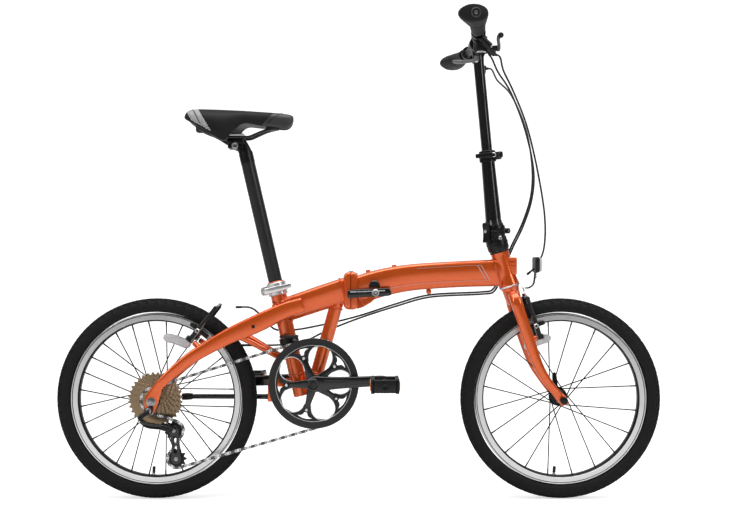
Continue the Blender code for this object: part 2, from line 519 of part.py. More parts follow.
def handlebar_parts():
    """Build the bar, the flared grips, the brake brackets and levers, and the shifter."""
    path = [(bar_at(y), 0.0130 if abs(y) < 0.03 else 0.0111, 0.0130 if abs(y) < 0.03 else 0.0111)
            for y in (-0.276, -0.16, -0.040, -0.024, 0.024, 0.040, 0.16, 0.276)]
    sweep("handlebar", path, "satin", 16)
    for sign in (-1, 1):
        side = "right" if sign < 0 else "left"
        stops = [(0.148, 0.0150, 0.0150, 0.0), (0.156, 0.0165, 0.0165, 0.0), (0.200, 0.0175, 0.0165, 0.0),
                 (0.235, 0.0220, 0.0165, 0.0), (0.262, 0.0310, 0.0190, 0.0), (0.277, 0.0325, 0.0200, 0.0),
                 (0.2845, 0.0270, 0.0160, 0.0)]
        rings = []
        for along, wide, high, _ in stops:
            centre = bar_at(sign * along) + Vector((-0.5 * (wide - 0.0165), 0, 0))
            rings.append([centre + Vector((wide * a, 0, high * b)) for a, b in oval(16, 2.2)])
        grip = skin(f"grip_{side}", rings, "rubber")
        hole = rod(f"grip_hole_{side}", bar_at(sign * 0.10), bar_at(sign * 0.2785), 0.0115, "rubber", 16)
        combine(grip, [hole], "DIFFERENCE")
        bracket = turned(f"brake_bracket_{side}", bar_at(sign * 0.118), Y, [(-0.007, 0.0128), (-0.007, 0.0170),
                                                                             (0.007, 0.0170), (0.007, 0.0128)],
                         "black", 16, ring=True)
        body = sweep(f"bracket_body_{side}", [(bar_at(sign * 0.118, 0.0130, 0.0080), 0.0065, 0.0070),
                                              (bar_at(sign * 0.112, 0.0300, 0.0260), 0.0080, 0.0080),
                                              (bar_at(sign * 0.104, 0.0420, 0.0360), 0.0060, 0.0070)],
                     "black", 8, 3.0, hint=Y)
        barrel = rod(f"bracket_barrel_{side}", bar_at(sign * 0.108, 0.0360, 0.0320), bar_at(sign * 0.086, 0.0440, 0.0360),
                     0.0055, "black", 8)
        combine(bracket, [body, barrel])
        blade = [(0.1235, 0.0370, 0.0350), (0.1450, 0.0430, 0.0480), (0.1750, 0.0420, 0.0480),
                 (0.2150, 0.0400, 0.0460), (0.2450, 0.0400, 0.0500), (0.2520, 0.0400, 0.0540)]
        sweep(f"brake_lever_{side}", [(bar_at(sign * a, d, f), 0.0060, 0.0035) for a, d, f in blade],
              "black", 8, 3.0, hint=X)
    pod = turned("shifter_pod", bar_at(-0.087), Y, [(-0.008, 0.0130), (-0.008, 0.0165), (0.008, 0.0165),
                                                    (0.008, 0.0130)], "black", 16, ring=True)
    body = sweep("pod_body", [(bar_at(-0.087, 0.0145, 0.0), 0.0120, 0.0090), (bar_at(-0.087, 0.0320, 0.0040), 0.0150, 0.0110),
                              (bar_at(-0.087, 0.0400, 0.0050), 0.0120, 0.0080)], "black", 10, 3.0, hint=Y)
    combine(pod, [body])
    sweep("shifter_lever", [(bar_at(-0.087, 0.0560, -0.0050), 0.0080, 0.0035), (bar_at(-0.092, 0.0610, -0.0260), 0.0090, 0.0035),
                            (bar_at(-0.100, 0.0640, -0.0480), 0.0100, 0.0040), (bar_at(-0.104, 0.0630, -0.0600), 0.0060, 0.0025)],
          "grey", 8, 3.0, hint=Z)


def polar_plate(name, centre, radius_at, depths, key, count=80, hole_at=None):
    """Make a flat plate whose outer edge (and hole) is a radius given by the angle."""
    def ring(edge, y):
        turns = [2 * math.pi * step / count for step in range(count)]
        return [Vector((centre.x + edge(t) * math.cos(t), y, centre.z + edge(t) * math.sin(t))) for t in turns]
    if hole_at is None:
        return skin(name, [ring(radius_at, depths[0]), ring(radius_at, depths[1])], key)
    rings = [ring(hole_at, depths[0]), ring(radius_at, depths[0]), ring(radius_at, depths[1]), ring(hole_at, depths[1])]
    return skin(name, rings, key, closed=True)


def star(turn, low, high, share):
    """Return a radius that rises from low to high at the five spider arms."""
    phase = (math.degrees(turn) - CRANK_SPIDER_PHASE) % 72
    near = min(phase, 72 - phase)
    return high if near < share else low


CRANK_SPIDER_PHASE = 39.0


def drivetrain():
    """Build the cranks, chainring, pedals, cassette, chain and derailleur."""
    reach = Vector((math.cos(CRANK_RISE), 0, math.sin(CRANK_RISE))) * CRANK_LENGTH
    hub_y = 0.0560
    spindle = rod("crank_right", CRANK_AXLE - Y * hub_y, CRANK_AXLE + Y * 0.0540, 0.0094, "black", 16)
    spider = polar_plate("spider", CRANK_AXLE, lambda t: star(t, 0.024, 0.0700, 4.0), (-0.0590, -0.0536), "black", 60)
    arm = sweep("crank_arm_right", [(CRANK_AXLE - Y * 0.0640 - reach * 0.09, 0.0050, 0.0130),
                                    (CRANK_AXLE - Y * 0.0640, 0.0080, 0.0190),
                                    (CRANK_AXLE - Y * 0.0660 + reach * 0.30, 0.0070, 0.0145),
                                    (CRANK_AXLE - Y * 0.0700 + reach * 0.97, 0.0065, 0.0120),
                                    (CRANK_AXLE - Y * 0.0700 + reach * 1.07, 0.0050, 0.0080)], "black", 12, 3.0)
    combine(spindle, [spider, arm])
    left = sweep("crank_left", [(CRANK_AXLE + Y * 0.0640 + reach * 0.09, 0.0050, 0.0120),
                                (CRANK_AXLE + Y * 0.0640, 0.0085, 0.0165),
                                (CRANK_AXLE + Y * 0.0660 - reach * 0.30, 0.0070, 0.0135),
                                (CRANK_AXLE + Y * 0.0700 - reach * 0.97, 0.0065, 0.0120),
                                (CRANK_AXLE + Y * 0.0700 - reach * 1.07, 0.0050, 0.0080)], "black", 12, 3.0)

    def inner_edge(turn):
        return star(turn, 0.0890, 0.0590, 5.0)
    ring = polar_plate("chainring", CRANK_AXLE, lambda t: 0.1003, (-0.0532, -0.0455), "satin", 60, inner_edge)
    guard = polar_plate("chain_guard", CRANK_AXLE, lambda t: 0.1090, (-0.0533, -0.0512), "satin", 60,
                        lambda t: 0.0940)
    combine(ring, [guard])

    for sign, end in ((-1, CRANK_AXLE + reach), (1, CRANK_AXLE - reach)):
        side = "right" if sign < 0 else "left"
        tip = Vector((end.x, 0, end.z))
        holder = spindle if sign < 0 else left
        combine(holder, [rod(f"pedal_hole_{side}", tip + Y * sign * 0.0712, tip + Y * sign * 0.0900, 0.0055,
                             "black", 10)], "DIFFERENCE")
        core = turned(f"pedal_axle_{side}", tip, Y * sign, [(0.0716, 0.0040), (0.0716, 0.0051), (0.0770, 0.0051),
                                                            (0.0775, 0.0062), (0.0930, 0.0062)], "satin", 12)
        hinge = rod(f"pedal_knuckle_{side}", tip + Y * sign * PEDAL_FOLD_Y - X * 0.0140,
                    tip + Y * sign * PEDAL_FOLD_Y + X * 0.0140, 0.0060, "black", 10)
        neck = block(f"pedal_neck_{side}", tip + Vector((-0.0120, min(sign * 0.0900, sign * 0.1000), -0.0050)),
                     tip + Vector((0.0120, max(sign * 0.0900, sign * 0.1000), 0.0050)), "black")
        combine(core, [hinge, neck])
        low, high = sorted((sign * 0.1070, sign * 0.1900))
        platform = block(f"pedal_{side}", tip + Vector((-0.0325, low, -0.0160)), tip + Vector((0.0325, high, 0.0160)),
                         "black")
        cheeks = []
        for face in (-1, 1):
            near, far = sorted((face * 0.0146, face * 0.0325))
            low_y, high_y = sorted((sign * 0.0930, sign * 0.1080))
            cheeks.append(block(f"pedal_cheek_{side}_{near:.3f}", tip + Vector((near, low_y, -0.0070)),
                                tip + Vector((far, high_y, 0.0070)), "black"))
        window = block(f"pedal_window_{side}", tip + Vector((-0.0230, min(sign * 0.118, sign * 0.178), -0.03)),
                       tip + Vector((0.0230, max(sign * 0.118, sign * 0.178), 0.03)), "black")
        bar = rod(f"pedal_core_{side}", tip + Y * sign * 0.112, tip + Y * sign * 0.184, 0.0090, "black", 10)
        combine(platform, cheeks)
        combine(platform, [window], "DIFFERENCE")
        combine(platform, [bar])

    teeth = [11, 13, COG_TEETH, 17, 19, 21, 24, 28, 32]
    profile = [(-0.0610, 0.0058), (-0.0610, 0.0160), (-0.0580, 0.0170)]
    for number, size in enumerate(teeth):
        edge = pitch_radius(size) - (0.0053 if number < 3 else 0.0010)
        near = CHAIN_Y + 0.0040 * (number - 2) - (0.0030 if number < 3 else 0.0008)
        profile += [(near, profile[-1][1]), (near + GAP, edge)]
    profile += [(-0.0208, profile[-1][1]), (-0.0208, 0.0058)]
    turned("cassette", REAR_AXLE, Y, profile, "bronze", 20, ring=True)

    wheels = [(CRANK_AXLE, pitch_radius(RING_TEETH), 1), (TENSION_PULLEY, pitch_radius(PULLEY_TEETH), 1),
              (GUIDE_PULLEY, pitch_radius(PULLEY_TEETH), -1), (REAR_AXLE, pitch_radius(COG_TEETH), 1)]
    loop = wrap(wheels)
    centre = [(Vector((x, CHAIN_Y, z)), 0.0042, 0.0028) for x, z in loop]
    band = []
    for number, (point, high, wide) in enumerate(centre):
        before, after = centre[number - 1][0], centre[(number + 1) % len(centre)][0]
        out = (after - before).normalized().cross(Y)
        band.append([point + out * high + Y * wide, point + out * high - Y * wide,
                     point - out * high - Y * wide, point - out * high + Y * wide])
    skin("chain", band, "satin", closed=True)


def wrap(wheels):
    """Return the loop of a chain round wheels of (centre, radius, sense); sense 1 is clockwise from the right."""
    runs = []
    for (a, ra, sa), (b, rb, sb) in zip(wheels, wheels[1:] + wheels[:1]):
        gap = Vector((b.x - a.x, b.z - a.z))
        lean = math.asin((sb * rb - sa * ra) / gap.length)
        heading = math.atan2(gap.y, gap.x) + lean
        right = (math.sin(heading), -math.cos(heading))
        leave = (a.x - sa * ra * right[0], a.z - sa * ra * right[1])
        reach = (b.x - sb * rb * right[0], b.z - sb * rb * right[1])
        runs.append((leave, reach))
    loop = []
    for number, (leave, reach) in enumerate(runs):
        centre, radius, sense = wheels[(number + 1) % len(wheels)]
        following = runs[(number + 1) % len(runs)][0]
        loop += [leave]
        start = math.atan2(reach[1] - centre.z, reach[0] - centre.x)
        stop = math.atan2(following[1] - centre.z, following[0] - centre.x)
        turn = (stop - start) % (2 * math.pi) if sense < 0 else -((start - stop) % (2 * math.pi))
        steps = max(2, int(abs(turn) * radius / 0.012))
        for step in range(steps):
            angle = start + turn * step / steps
            loop.append((centre.x + radius * math.cos(angle), centre.z + radius * math.sin(angle)))
    return loop


def derailleur():
    """Build the derailleur body, its sprung cage and the two pulleys."""
    body = sweep("derailleur_body", [((-0.4960, -0.0860, 0.2240), 0.0050, 0.0120), ((-0.5200, -0.0880, 0.2080), 0.0070, 0.0160),
                                     ((-0.5000, -0.0850, 0.1920), 0.0080, 0.0150), ((-0.4620, -0.0740, 0.1860), 0.0080, 0.0150),
                                     ((-0.4435, -0.0690, 0.1800), 0.0070, 0.0160)], "black", 8, 3.0)
    hanger = rod("derailleur_bolt", (-0.4970, -0.0738, 0.2260), (-0.4970, -0.0900, 0.2260), 0.0090, "black", 10)
    combine(body, [hanger])
    for name, centre in (("guide_pulley", GUIDE_PULLEY), ("tension_pulley", TENSION_PULLEY)):
        turned(name, centre, Y, [(-0.0022, 0.0034), (-0.0022, 0.0172), (0.0022, 0.0172), (0.0022, 0.0034)],
               "black", 16, ring=True)
    plates = []
    for near, far in ((-0.0545, -0.0520), (-0.0420, -0.0400)):
        top, low = GUIDE_PULLEY, TENSION_PULLEY
        outline = []
        for step in range(8):
            turn = math.pi * step / 7
            outline.append((top.x + 0.0120 * math.cos(turn), top.z + 0.0120 * math.sin(turn)))
        for step in range(8):
            turn = math.pi + math.pi * step / 7
            outline.append((low.x + 0.0120 * math.cos(turn), low.z + 0.0120 * math.sin(turn)))
        plates.append((outline, (near, far)))
    cage = prism("derailleur_cage", plates[0][0], plates[0][1], "black")
    pieces = [prism("cage_inner", plates[1][0], plates[1][1], "black"),
              rod("guide_bolt", GUIDE_PULLEY + Y * 0.0060, GUIDE_PULLEY - Y * 0.0120, 0.0030, "black", 8),
              rod("tension_bolt", TENSION_PULLEY + Y * 0.0060, TENSION_PULLEY - Y * 0.0085, 0.0030, "black", 8)]
    combine(cage, pieces)


def brake_pair(end, sides_y, foot, up, ahead):
    """Build two linear-pull brake arms with their pads; up runs along the arm."""
    for sign in (-1, 1):
        side = "right" if sign < 0 else "left"
        root = foot + Y * sign * sides_y
        pad_at = foot + up * 0.0280 - ahead * 0.0010
        top = foot + up * 0.1000 + Y * sign * 0.0300
        arm = sweep(f"{end}_brake_arm_{side}", [(root - up * 0.0060, 0.0060, 0.0065), (root + up * 0.0120, 0.0055, 0.0060),
                                               (root + up * 0.0500, 0.0040, 0.0050), (top, 0.0035, 0.0050)],
                    "black", 8, 3.0, hint=ahead)
        stud = rod(f"{end}_pad_stud_{side}", pad_at + Y * sign * 0.0210, pad_at + Y * sign * (sides_y + 0.001), 0.0045,
                   "black", 8)
        along = ahead.normalized()
        pad = sweep(f"{end}_pad_{side}", [(pad_at + Y * sign * 0.0190 - along * 0.0260, 0.0048, 0.0045),
                                          (pad_at + Y * sign * 0.0190 + along * 0.0260, 0.0048, 0.0045)],
                    "rubber", 6, 3.0, hint=up)
        combine(arm, [stud, pad])


def kickstand():
    """Build the side stand, stowed along the left of the rear wheel."""
    leg = sweep("kickstand", [((-0.2130, 0.0420, 0.2430), 0.0080, 0.0085), ((-0.2400, 0.0425, 0.2430), 0.0065, 0.0065),
                              ((-0.4250, 0.0470, 0.2430), 0.0060, 0.0060), ((-0.4400, 0.0480, 0.2420), 0.0075, 0.0085)],
                "black", 10)
    return combine(leg, [rod("stand_pivot", (-0.2130, 0.0338, 0.2430), (-0.2130, 0.0480, 0.2430), 0.0090, "black", 10)])


def cables():
    """Lay the two brake cables and the shift cable along their routes."""
    cable("front_brake_cable", [(0.336, -0.080, 1.066), (0.346, -0.070, 1.035), (0.372, -0.060, 0.985),
                                (0.405, -0.050, 0.905), (0.432, -0.040, 0.800), (0.452, -0.025, 0.690),
                                (0.452, -0.012, 0.610), (0.432, 0.000, 0.568), (0.413, 0.000, 0.548)])
    shared = [(0.408, -0.016, 0.900), (0.424, -0.010, 0.810), (0.424, 0.012, 0.740), (0.406, 0.030, 0.675),
              (0.382, 0.040, 0.622), (0.366, 0.041, 0.585), (0.350, 0.036, 0.545), (0.332, 0.018, 0.512),
              (0.300, 0.006, 0.505), (0.175, 0.004, 0.498), (0.092, 0.006, 0.476), (0.000, 0.012, 0.446)]
    lead = [(0.336, 0.080, 1.066), (0.348, 0.060, 1.035), (0.378, 0.020, 0.990)]
    cable("rear_brake_cable", lead + [point for point in shared[:]] + [(-0.085, 0.030, 0.424), (-0.160, 0.036, 0.410),
                                                                       (-0.208, 0.028, 0.412), (-0.236, 0.012, 0.442),
                                                                       (-0.264, 0.002, 0.466), (-0.302, 0.000, 0.468)])
    beside = [(x + 0.002, y - 0.0070, z - 0.0050) for x, y, z in shared[1:]]
    start = [(0.312, -0.087, 1.060), (0.330, -0.078, 1.030), (0.365, -0.058, 0.985), (0.403, -0.031, 0.900)]
    cable("shift_cable", start + beside
          + [(-0.080, 0.024, 0.408), (-0.140, 0.034, 0.380), (-0.200, 0.040, 0.372), (-0.300, 0.030, 0.372)])


def build():
    """Clear the scene and build every piece."""
    for thing in list(bpy.data.objects):
        bpy.data.objects.remove(thing)
    wheel("rear", REAR_AXLE, 0.062, 28)
    wheel("front", FRONT_AXLE, 0.0365, 20)
    rear_frame()
    seat_parts()
    front_frame()
    fork_parts()
    handlepost_parts()
    handlebar_parts()
    drivetrain()
    derailleur()
    rim_up = Vector((0.619, 0, 0.785))
    brake_pair("rear", 0.0410, Vector((-0.4065, 0, 0.3915)), rim_up, Vector((-0.785, 0, 0.619)))
    fork_up = Vector((-0.281, 0, 0.960))
    brake_pair("front", 0.0430, Vector((0.4365, 0, 0.3980)), fork_up, Vector((0.960, 0, 0.281)))
    kickstand()
    cables()


build()
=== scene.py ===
"""Dress the folding bicycle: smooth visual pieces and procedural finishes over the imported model.

Every length is in metres. +X points forward, +Y to the rider's left and +Z up.
"""
import logging
import math
from dataclasses import dataclass
from enum import Enum
from typing import Optional, Sequence

import bpy
import numpy as np
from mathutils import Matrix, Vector


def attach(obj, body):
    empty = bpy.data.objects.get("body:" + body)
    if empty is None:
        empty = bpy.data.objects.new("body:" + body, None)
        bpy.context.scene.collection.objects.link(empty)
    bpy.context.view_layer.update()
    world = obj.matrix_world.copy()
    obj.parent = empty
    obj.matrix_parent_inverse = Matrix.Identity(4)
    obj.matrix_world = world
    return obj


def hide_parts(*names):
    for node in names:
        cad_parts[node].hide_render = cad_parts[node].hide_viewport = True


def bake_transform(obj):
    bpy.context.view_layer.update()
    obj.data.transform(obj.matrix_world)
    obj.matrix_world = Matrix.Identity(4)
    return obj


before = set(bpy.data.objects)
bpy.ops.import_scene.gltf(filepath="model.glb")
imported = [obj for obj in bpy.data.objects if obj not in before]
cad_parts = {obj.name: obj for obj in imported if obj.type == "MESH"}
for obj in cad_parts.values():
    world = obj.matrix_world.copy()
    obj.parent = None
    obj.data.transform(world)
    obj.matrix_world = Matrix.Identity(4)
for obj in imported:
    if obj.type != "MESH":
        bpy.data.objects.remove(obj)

LOG = logging.getLogger("folding_bicycle")
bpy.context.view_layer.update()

Point = Sequence[float]
X, Y, Z = np.array([1.0, 0, 0]), np.array([0, 1.0, 0]), np.array([0, 0, 1.0])

WHEELBASE = 0.988
AXLE_HEIGHT = 0.245
CRANK_AXLE = np.array([-0.108, 0, 0.287])
CRANK_RISE = math.radians(3.0)
CRANK_LENGTH = 0.170
REAR_AXLE = np.array([-WHEELBASE / 2, 0, AXLE_HEIGHT])
FRONT_AXLE = np.array([WHEELBASE / 2, 0, AXLE_HEIGHT])
CHAIN_Y = -0.047
CHAIN_PITCH = 0.0127
RING_TEETH = 52
PULLEY_TEETH = 11
CHAIN_COG_TEETH = 15
GUIDE_PULLEY = np.array([-0.4435, CHAIN_Y, 0.1738])
TENSION_PULLEY = np.array([-0.4378, CHAIN_Y, 0.1056])
HINGE_PIN = np.array([-0.019, 0.032, 0.5085])
SEAT_FOOT = np.array([-0.146, 0, 0.2794])
STEER_FOOT = np.array([0.3707, 0, 0.5175])
POST_FOOT = np.array([0.3330, 0, 0.6558])


def leaning(degrees: float) -> np.ndarray:
    """Return the unit vector that leans back from upright by an angle."""
    return np.array([-math.sin(math.radians(degrees)), 0, math.cos(math.radians(degrees))])


SEAT_DIR, STEER_DIR, POST_DIR = leaning(13.04), leaning(16.3), leaning(5.34)
BAR_CENTRE = POST_FOOT + POST_DIR * 0.4577
BAR_HALF = 0.280
FOLD_OUT = np.array([1, 1, 0]) / math.sqrt(2)
FOLD_ALONG = np.array([1, -1, 0]) / math.sqrt(2)


class Side(Enum):
    """The rider's two sides; the value is the sign of Y."""

    LEFT = 1
    RIGHT = -1

    @property
    def word(self) -> str:
        """Return the side as a lower-case word for piece names."""
        return self.name.lower()


@dataclass
class Shell:
    """One closed surface before it is part of a piece: its points, faces and finish number."""

    points: np.ndarray
    faces: list
    finish: int = 0

    def outward(self) -> "Shell":
        """Turn the faces round if the enclosed volume comes out negative.

        Returns:
            The same shell, with its faces pointing out.
        """
        total = 0.0
        for face in self.faces:
            fan = self.points[np.array(face)]
            total += float(np.einsum("j,ij->", fan[0], np.cross(fan[1:-1], fan[2:])))
        if total < 0:
            self.faces = [tuple(reversed(face)) for face in self.faces]
        return self


def grid(points: np.ndarray, ring: bool = False, finish: int = 0) -> Shell:
    """Skin an array of rings.

    The surface is points[u, v]; v always closes on itself. u closes too on a ring, and
    otherwise the first and last rings are closed by fans to their middle points.

    Args:
        points: Array of shape (rings, points in a ring, 3).
        ring: Whether the last ring joins the first.
        finish: Number of the finish in the piece's list.

    Returns:
        The closed shell.
    """
    rows, count, _ = points.shape
    flat = points.reshape(-1, 3)
    u = np.arange(rows if ring else rows - 1)[:, None]
    v = np.arange(count)[None, :]
    low, high = u * count, ((u + 1) % rows) * count
    quads = np.stack([low + v, low + (v + 1) % count, high + (v + 1) % count, high + v], axis=-1).reshape(-1, 4)
    faces = [tuple(q) for q in quads.tolist()]
    if not ring:
        flat = np.vstack([flat, points[0].mean(axis=0), points[-1].mean(axis=0)])
        first, last, top = rows * count, rows * count + 1, (rows - 1) * count
        faces += [((k + 1) % count, k, first) for k in range(count)]
        faces += [(top + k, top + (k + 1) % count, last) for k in range(count)]
    return Shell(flat, faces, finish).outward()


def unit(vector: np.ndarray) -> np.ndarray:
    """Return the vectors scaled to length 1 along the last axis."""
    return vector / np.linalg.norm(vector, axis=-1, keepdims=True)


def smooth(points: Sequence[Point], steps: int = 8) -> np.ndarray:
    """Return a centripetal-like Catmull-Rom curve through rows of numbers.

    Each span blends its four neighbouring rows with the usual cubic weights.

    Args:
        points: Rows of any equal length, such as places with half widths after them.
        steps: Points on each span.

    Returns:
        The rows of the curve, from the first row to the last.
    """
    rows = np.asarray(points, float)
    padded = np.vstack([2 * rows[0] - rows[1], rows, 2 * rows[-1] - rows[-2]])
    t = (np.arange(steps) / steps)[None, :, None]
    a, b, c, d = (padded[k:len(padded) - 3 + k][:, None, :] for k in range(4))
    curve = 0.5 * (2 * b + (c - a) * t + (2 * a - 5 * b + 4 * c - d) * t ** 2 + (3 * b - a - 3 * c + d) * t ** 3)
    return np.vstack([curve.reshape(-1, rows.shape[1]), rows[-1]])


def superellipse(count: int, power: float) -> np.ndarray:
    """Return points of |x|^n + |y|^n = 1, with n from 2 for round to about 5 for boxy."""
    turn = 2 * np.pi * (np.arange(count) + 0.5) / count
    c, s = np.cos(turn), np.sin(turn)
    return np.stack([np.sign(c) * np.abs(c) ** (2 / power), np.sign(s) * np.abs(s) ** (2 / power)], axis=1)


def loft(path: np.ndarray, wide: np.ndarray, high: np.ndarray, hint: np.ndarray, count: int = 20,
         power: float = 2.0, finish: int = 0, outline: Optional[np.ndarray] = None, ring: bool = False) -> Shell:
    """Carry an outline along a path.

    A point is path(u) + wide(u) * a(v) * side(u) + high(u) * b(v) * up(u), where up leans to
    the hint and side is square to it and to the path.

    Args:
        path: Places of the rings, shape (n, 3).
        wide: Half width of each ring along side.
        high: Half height of each ring along up.
        hint: Direction that up leans to.
        count: Points in a ring.
        power: Superellipse power of the outline.
        finish: Number of the finish in the piece's list.
        outline: Points (a, b) that replace the superellipse.
        ring: Whether the path closes on itself.

    Returns:
        The closed shell.
    """
    path = np.asarray(path, float)
    if ring:
        along = np.roll(path, -1, axis=0) - np.roll(path, 1, axis=0)
    else:
        along = np.gradient(path, axis=0)
    along = unit(along)
    up = unit(hint - along * (along @ hint)[:, None])
    side = np.cross(along, up)
    shape = superellipse(count, power) if outline is None else outline
    wide, high = np.broadcast_to(wide, len(path)), np.broadcast_to(high, len(path))
    points = (path[:, None] + side[:, None] * (wide[:, None] * shape[:, 0])[..., None]
              + up[:, None] * (high[:, None] * shape[:, 1])[..., None])
    return grid(points, ring, finish)


def sweep(stops: Sequence[tuple], hint: np.ndarray, count: int = 20, power: float = 2.0, steps: int = 6,
          finish: int = 0) -> Shell:
    """Loft a smooth curve through stops of (point, half width, half height), with rounded ends."""
    rows = smooth([(*np.asarray(p, float), w, h) for p, w, h in stops], steps)
    return rounded(rows[:, :3], rows[:, 3], rows[:, 4], hint, count, power, finish)


def rounded(path: np.ndarray, wide: np.ndarray, high: np.ndarray, hint: np.ndarray, count: int, power: float,
            finish: int) -> Shell:
    """Loft a path whose two ends draw in over the last quarter of their height.

    The end rings repeat the end place and shrink by cos(t) while they step in by sin(t).
    """
    ease = 0.22 * min(float(min(high[0], wide[0])), 0.02)
    first, last = unit(path[1] - path[0]), unit(path[-1] - path[-2])
    head = np.array([path[0], path[0] + first * ease * 0.3, path[0] + first * ease])
    tail = np.array([path[-1] - last * ease, path[-1] - last * ease * 0.3, path[-1]])
    w = np.concatenate([[wide[0] - ease, wide[0] - ease * 0.3, wide[0]], wide[1:-1], [wide[-1], wide[-1] - ease * 0.3,
                                                                                     wide[-1] - ease]])
    h = np.concatenate([[high[0] - ease, high[0] - ease * 0.3, high[0]], high[1:-1], [high[-1], high[-1] - ease * 0.3,
                                                                                     high[-1] - ease]])
    return loft(np.vstack([head, path[1:-1], tail]), w, h, hint, count, power, finish)


def lathe(base: Point, axis: np.ndarray, profile: Sequence[Point], sides: int = 48, ring: bool = False,
          finish: int = 0, bevel: float = 0.0) -> Shell:
    """Turn a profile of (distance along, radius) round an axis.

    A point is base + axis * a(u) + radius(u) * (side cos v + up sin v).

    Args:
        base: Place where the distance along is 0.
        axis: Direction of the axis.
        profile: Corner points of the profile.
        sides: Points in a full turn.
        ring: Whether the profile closes on itself, as for a hollow part.
        finish: Number of the finish in the piece's list.
        bevel: Size of the small chamfer cut at each corner.

    Returns:
        The closed shell.
    """
    axis = unit(np.asarray(axis, float))
    hint = X if abs(axis[0]) < 0.7 else Z
    up = unit(hint - axis * (axis @ hint))
    side = np.cross(axis, up)
    rows = np.asarray(profile, float)
    if bevel:
        before, after = np.roll(rows, 1, axis=0) - rows, np.roll(rows, -1, axis=0) - rows
        if not ring:
            before[0], after[-1] = after[0], before[-1]
        reach = [np.minimum(bevel, 0.4 * np.linalg.norm(d, axis=1))[:, None] for d in (before, after)]
        near = rows + before / np.maximum(np.linalg.norm(before, axis=1), 1e-9)[:, None] * reach[0]
        far = rows + after / np.maximum(np.linalg.norm(after, axis=1), 1e-9)[:, None] * reach[1]
        cut = np.stack([near, far], axis=1)
        if not ring:
            cut[0], cut[-1] = rows[0], rows[-1]
        rows = cut.reshape(-1, 2)
        if not ring:
            rows = rows[1:-1]
    turn = 2 * np.pi * np.arange(sides) / sides
    spin = side * np.cos(turn)[:, None] + up * np.sin(turn)[:, None]
    points = np.asarray(base, float) + axis * rows[:, :1, None] + rows[:, 1:2, None] * spin[None]
    return grid(points, ring, finish)


def hoop(base: Point, axis: np.ndarray, span: tuple, reach: tuple, sides: int, finish: int, bevel: float) -> Shell:
    """Return a ring of rectangular section between two levels (span) and two radii (reach) of an axis."""
    (low, high), (inner, outer) = span, reach
    return lathe(base, axis, [(low, inner), (low, outer), (high, outer), (high, inner)], sides, True, finish, bevel)


def bar(start: Point, end: Point, radius: float, sides: int = 16, finish: int = 0, bevel: float = 0.0004) -> Shell:
    """Return a straight round bar with chamfered ends."""
    start, end = np.asarray(start, float), np.asarray(end, float)
    length = float(np.linalg.norm(end - start))
    profile = [(0, radius), (length, radius)]
    if bevel:
        profile = [(0, radius - bevel), (bevel, radius), (length - bevel, radius), (length, radius - bevel)]
    return lathe(start, end - start, profile, sides, False, finish)


def bolt(place: Point, axis: np.ndarray, radius: float = 0.0035, height: float = 0.003, finish: int = 0) -> Shell:
    """Return a socket bolt head: a low domed cylinder with a recessed six-sided socket."""
    profile = [(-height, radius * 0.96), (height * 0.65, radius), (height * 0.92, radius * 0.88),
               (height, radius * 0.62),
               (height * 0.35, radius * 0.50)]
    return lathe(place, axis, profile, 18, False, finish)


def brick(low: Point, high: Point, ease: float = 0.0015, finish: int = 0, axis: int = 2) -> Shell:
    """Return a box with rounded upright edges and eased rims.

    Each ring is a rounded rectangle in the plane square to the axis; four rings ease the two rims.
    """
    low, high = np.minimum(low, high).astype(float), np.maximum(low, high).astype(float)
    others = [k for k in range(3) if k != axis]
    ease = min(ease, 0.45 * float((high - low).min()))
    levels = [(low[axis], ease * 0.6), (low[axis] + ease * 0.2, ease * 0.2), (low[axis] + ease * 0.6, 0.0),
              (high[axis] - ease * 0.6, 0.0), (high[axis] - ease * 0.2, ease * 0.2), (high[axis], ease * 0.6)]
    rings = []
    for level, inset in levels:
        corners = []
        for number, (sa, sb) in enumerate(((1, 1), (-1, 1), (-1, -1), (1, -1))):
            turn = np.pi / 2 * number + np.pi / 2 * np.arange(4) / 3
            centre = [(high if s > 0 else low)[k] - s * (ease + inset) for s, k in ((sa, others[0]), (sb, others[1]))]
            ring = np.zeros((4, 3))
            ring[:, others[0]] = centre[0] + ease * np.cos(turn)
            ring[:, others[1]] = centre[1] + ease * np.sin(turn)
            ring[:, axis] = level
            corners.append(ring)
        rings.append(np.vstack(corners))
    return grid(np.array(rings), False, finish)


def plate(outline: np.ndarray, low: float, high: float, axis: int = 1, ease: float = 0.0006, finish: int = 0,
          hole: Optional[np.ndarray] = None) -> Shell:
    """Extrude an outline of 2-D points between two levels of an axis, with eased rims.

    The eased rings move towards the outline's middle line by a share of the ease. With a
    hole, whose points pair with the outline's, the rings run out, over and back in.
    """
    others = [k for k in range(3) if k != axis]

    def ring(flat: np.ndarray, level: float) -> np.ndarray:
        made = np.zeros((len(flat), 3))
        made[:, others] = flat
        made[:, axis] = level
        return made

    def inset(flat: np.ndarray, amount: float) -> np.ndarray:
        along = np.roll(flat, -1, axis=0) - np.roll(flat, 1, axis=0)
        normal = np.stack([along[:, 1], -along[:, 0]], axis=1)
        normal /= np.maximum(np.linalg.norm(normal, axis=1, keepdims=True), 1e-9)
        area = np.sum(flat[:, 0] * np.roll(flat[:, 1], -1) - np.roll(flat[:, 0], -1) * flat[:, 1])
        return flat - normal * amount * (1 if area > 0 else -1)

    rings = [ring(inset(outline, ease), low), ring(outline, low + ease), ring(outline, high - ease),
             ring(inset(outline, ease), high)]
    if hole is None:
        return grid(np.array(rings), False, finish)
    rings += [ring(inset(hole, -ease), high), ring(hole, high - ease), ring(hole, low + ease),
              ring(inset(hole, -ease), low)]
    return grid(np.array(rings), True, finish)


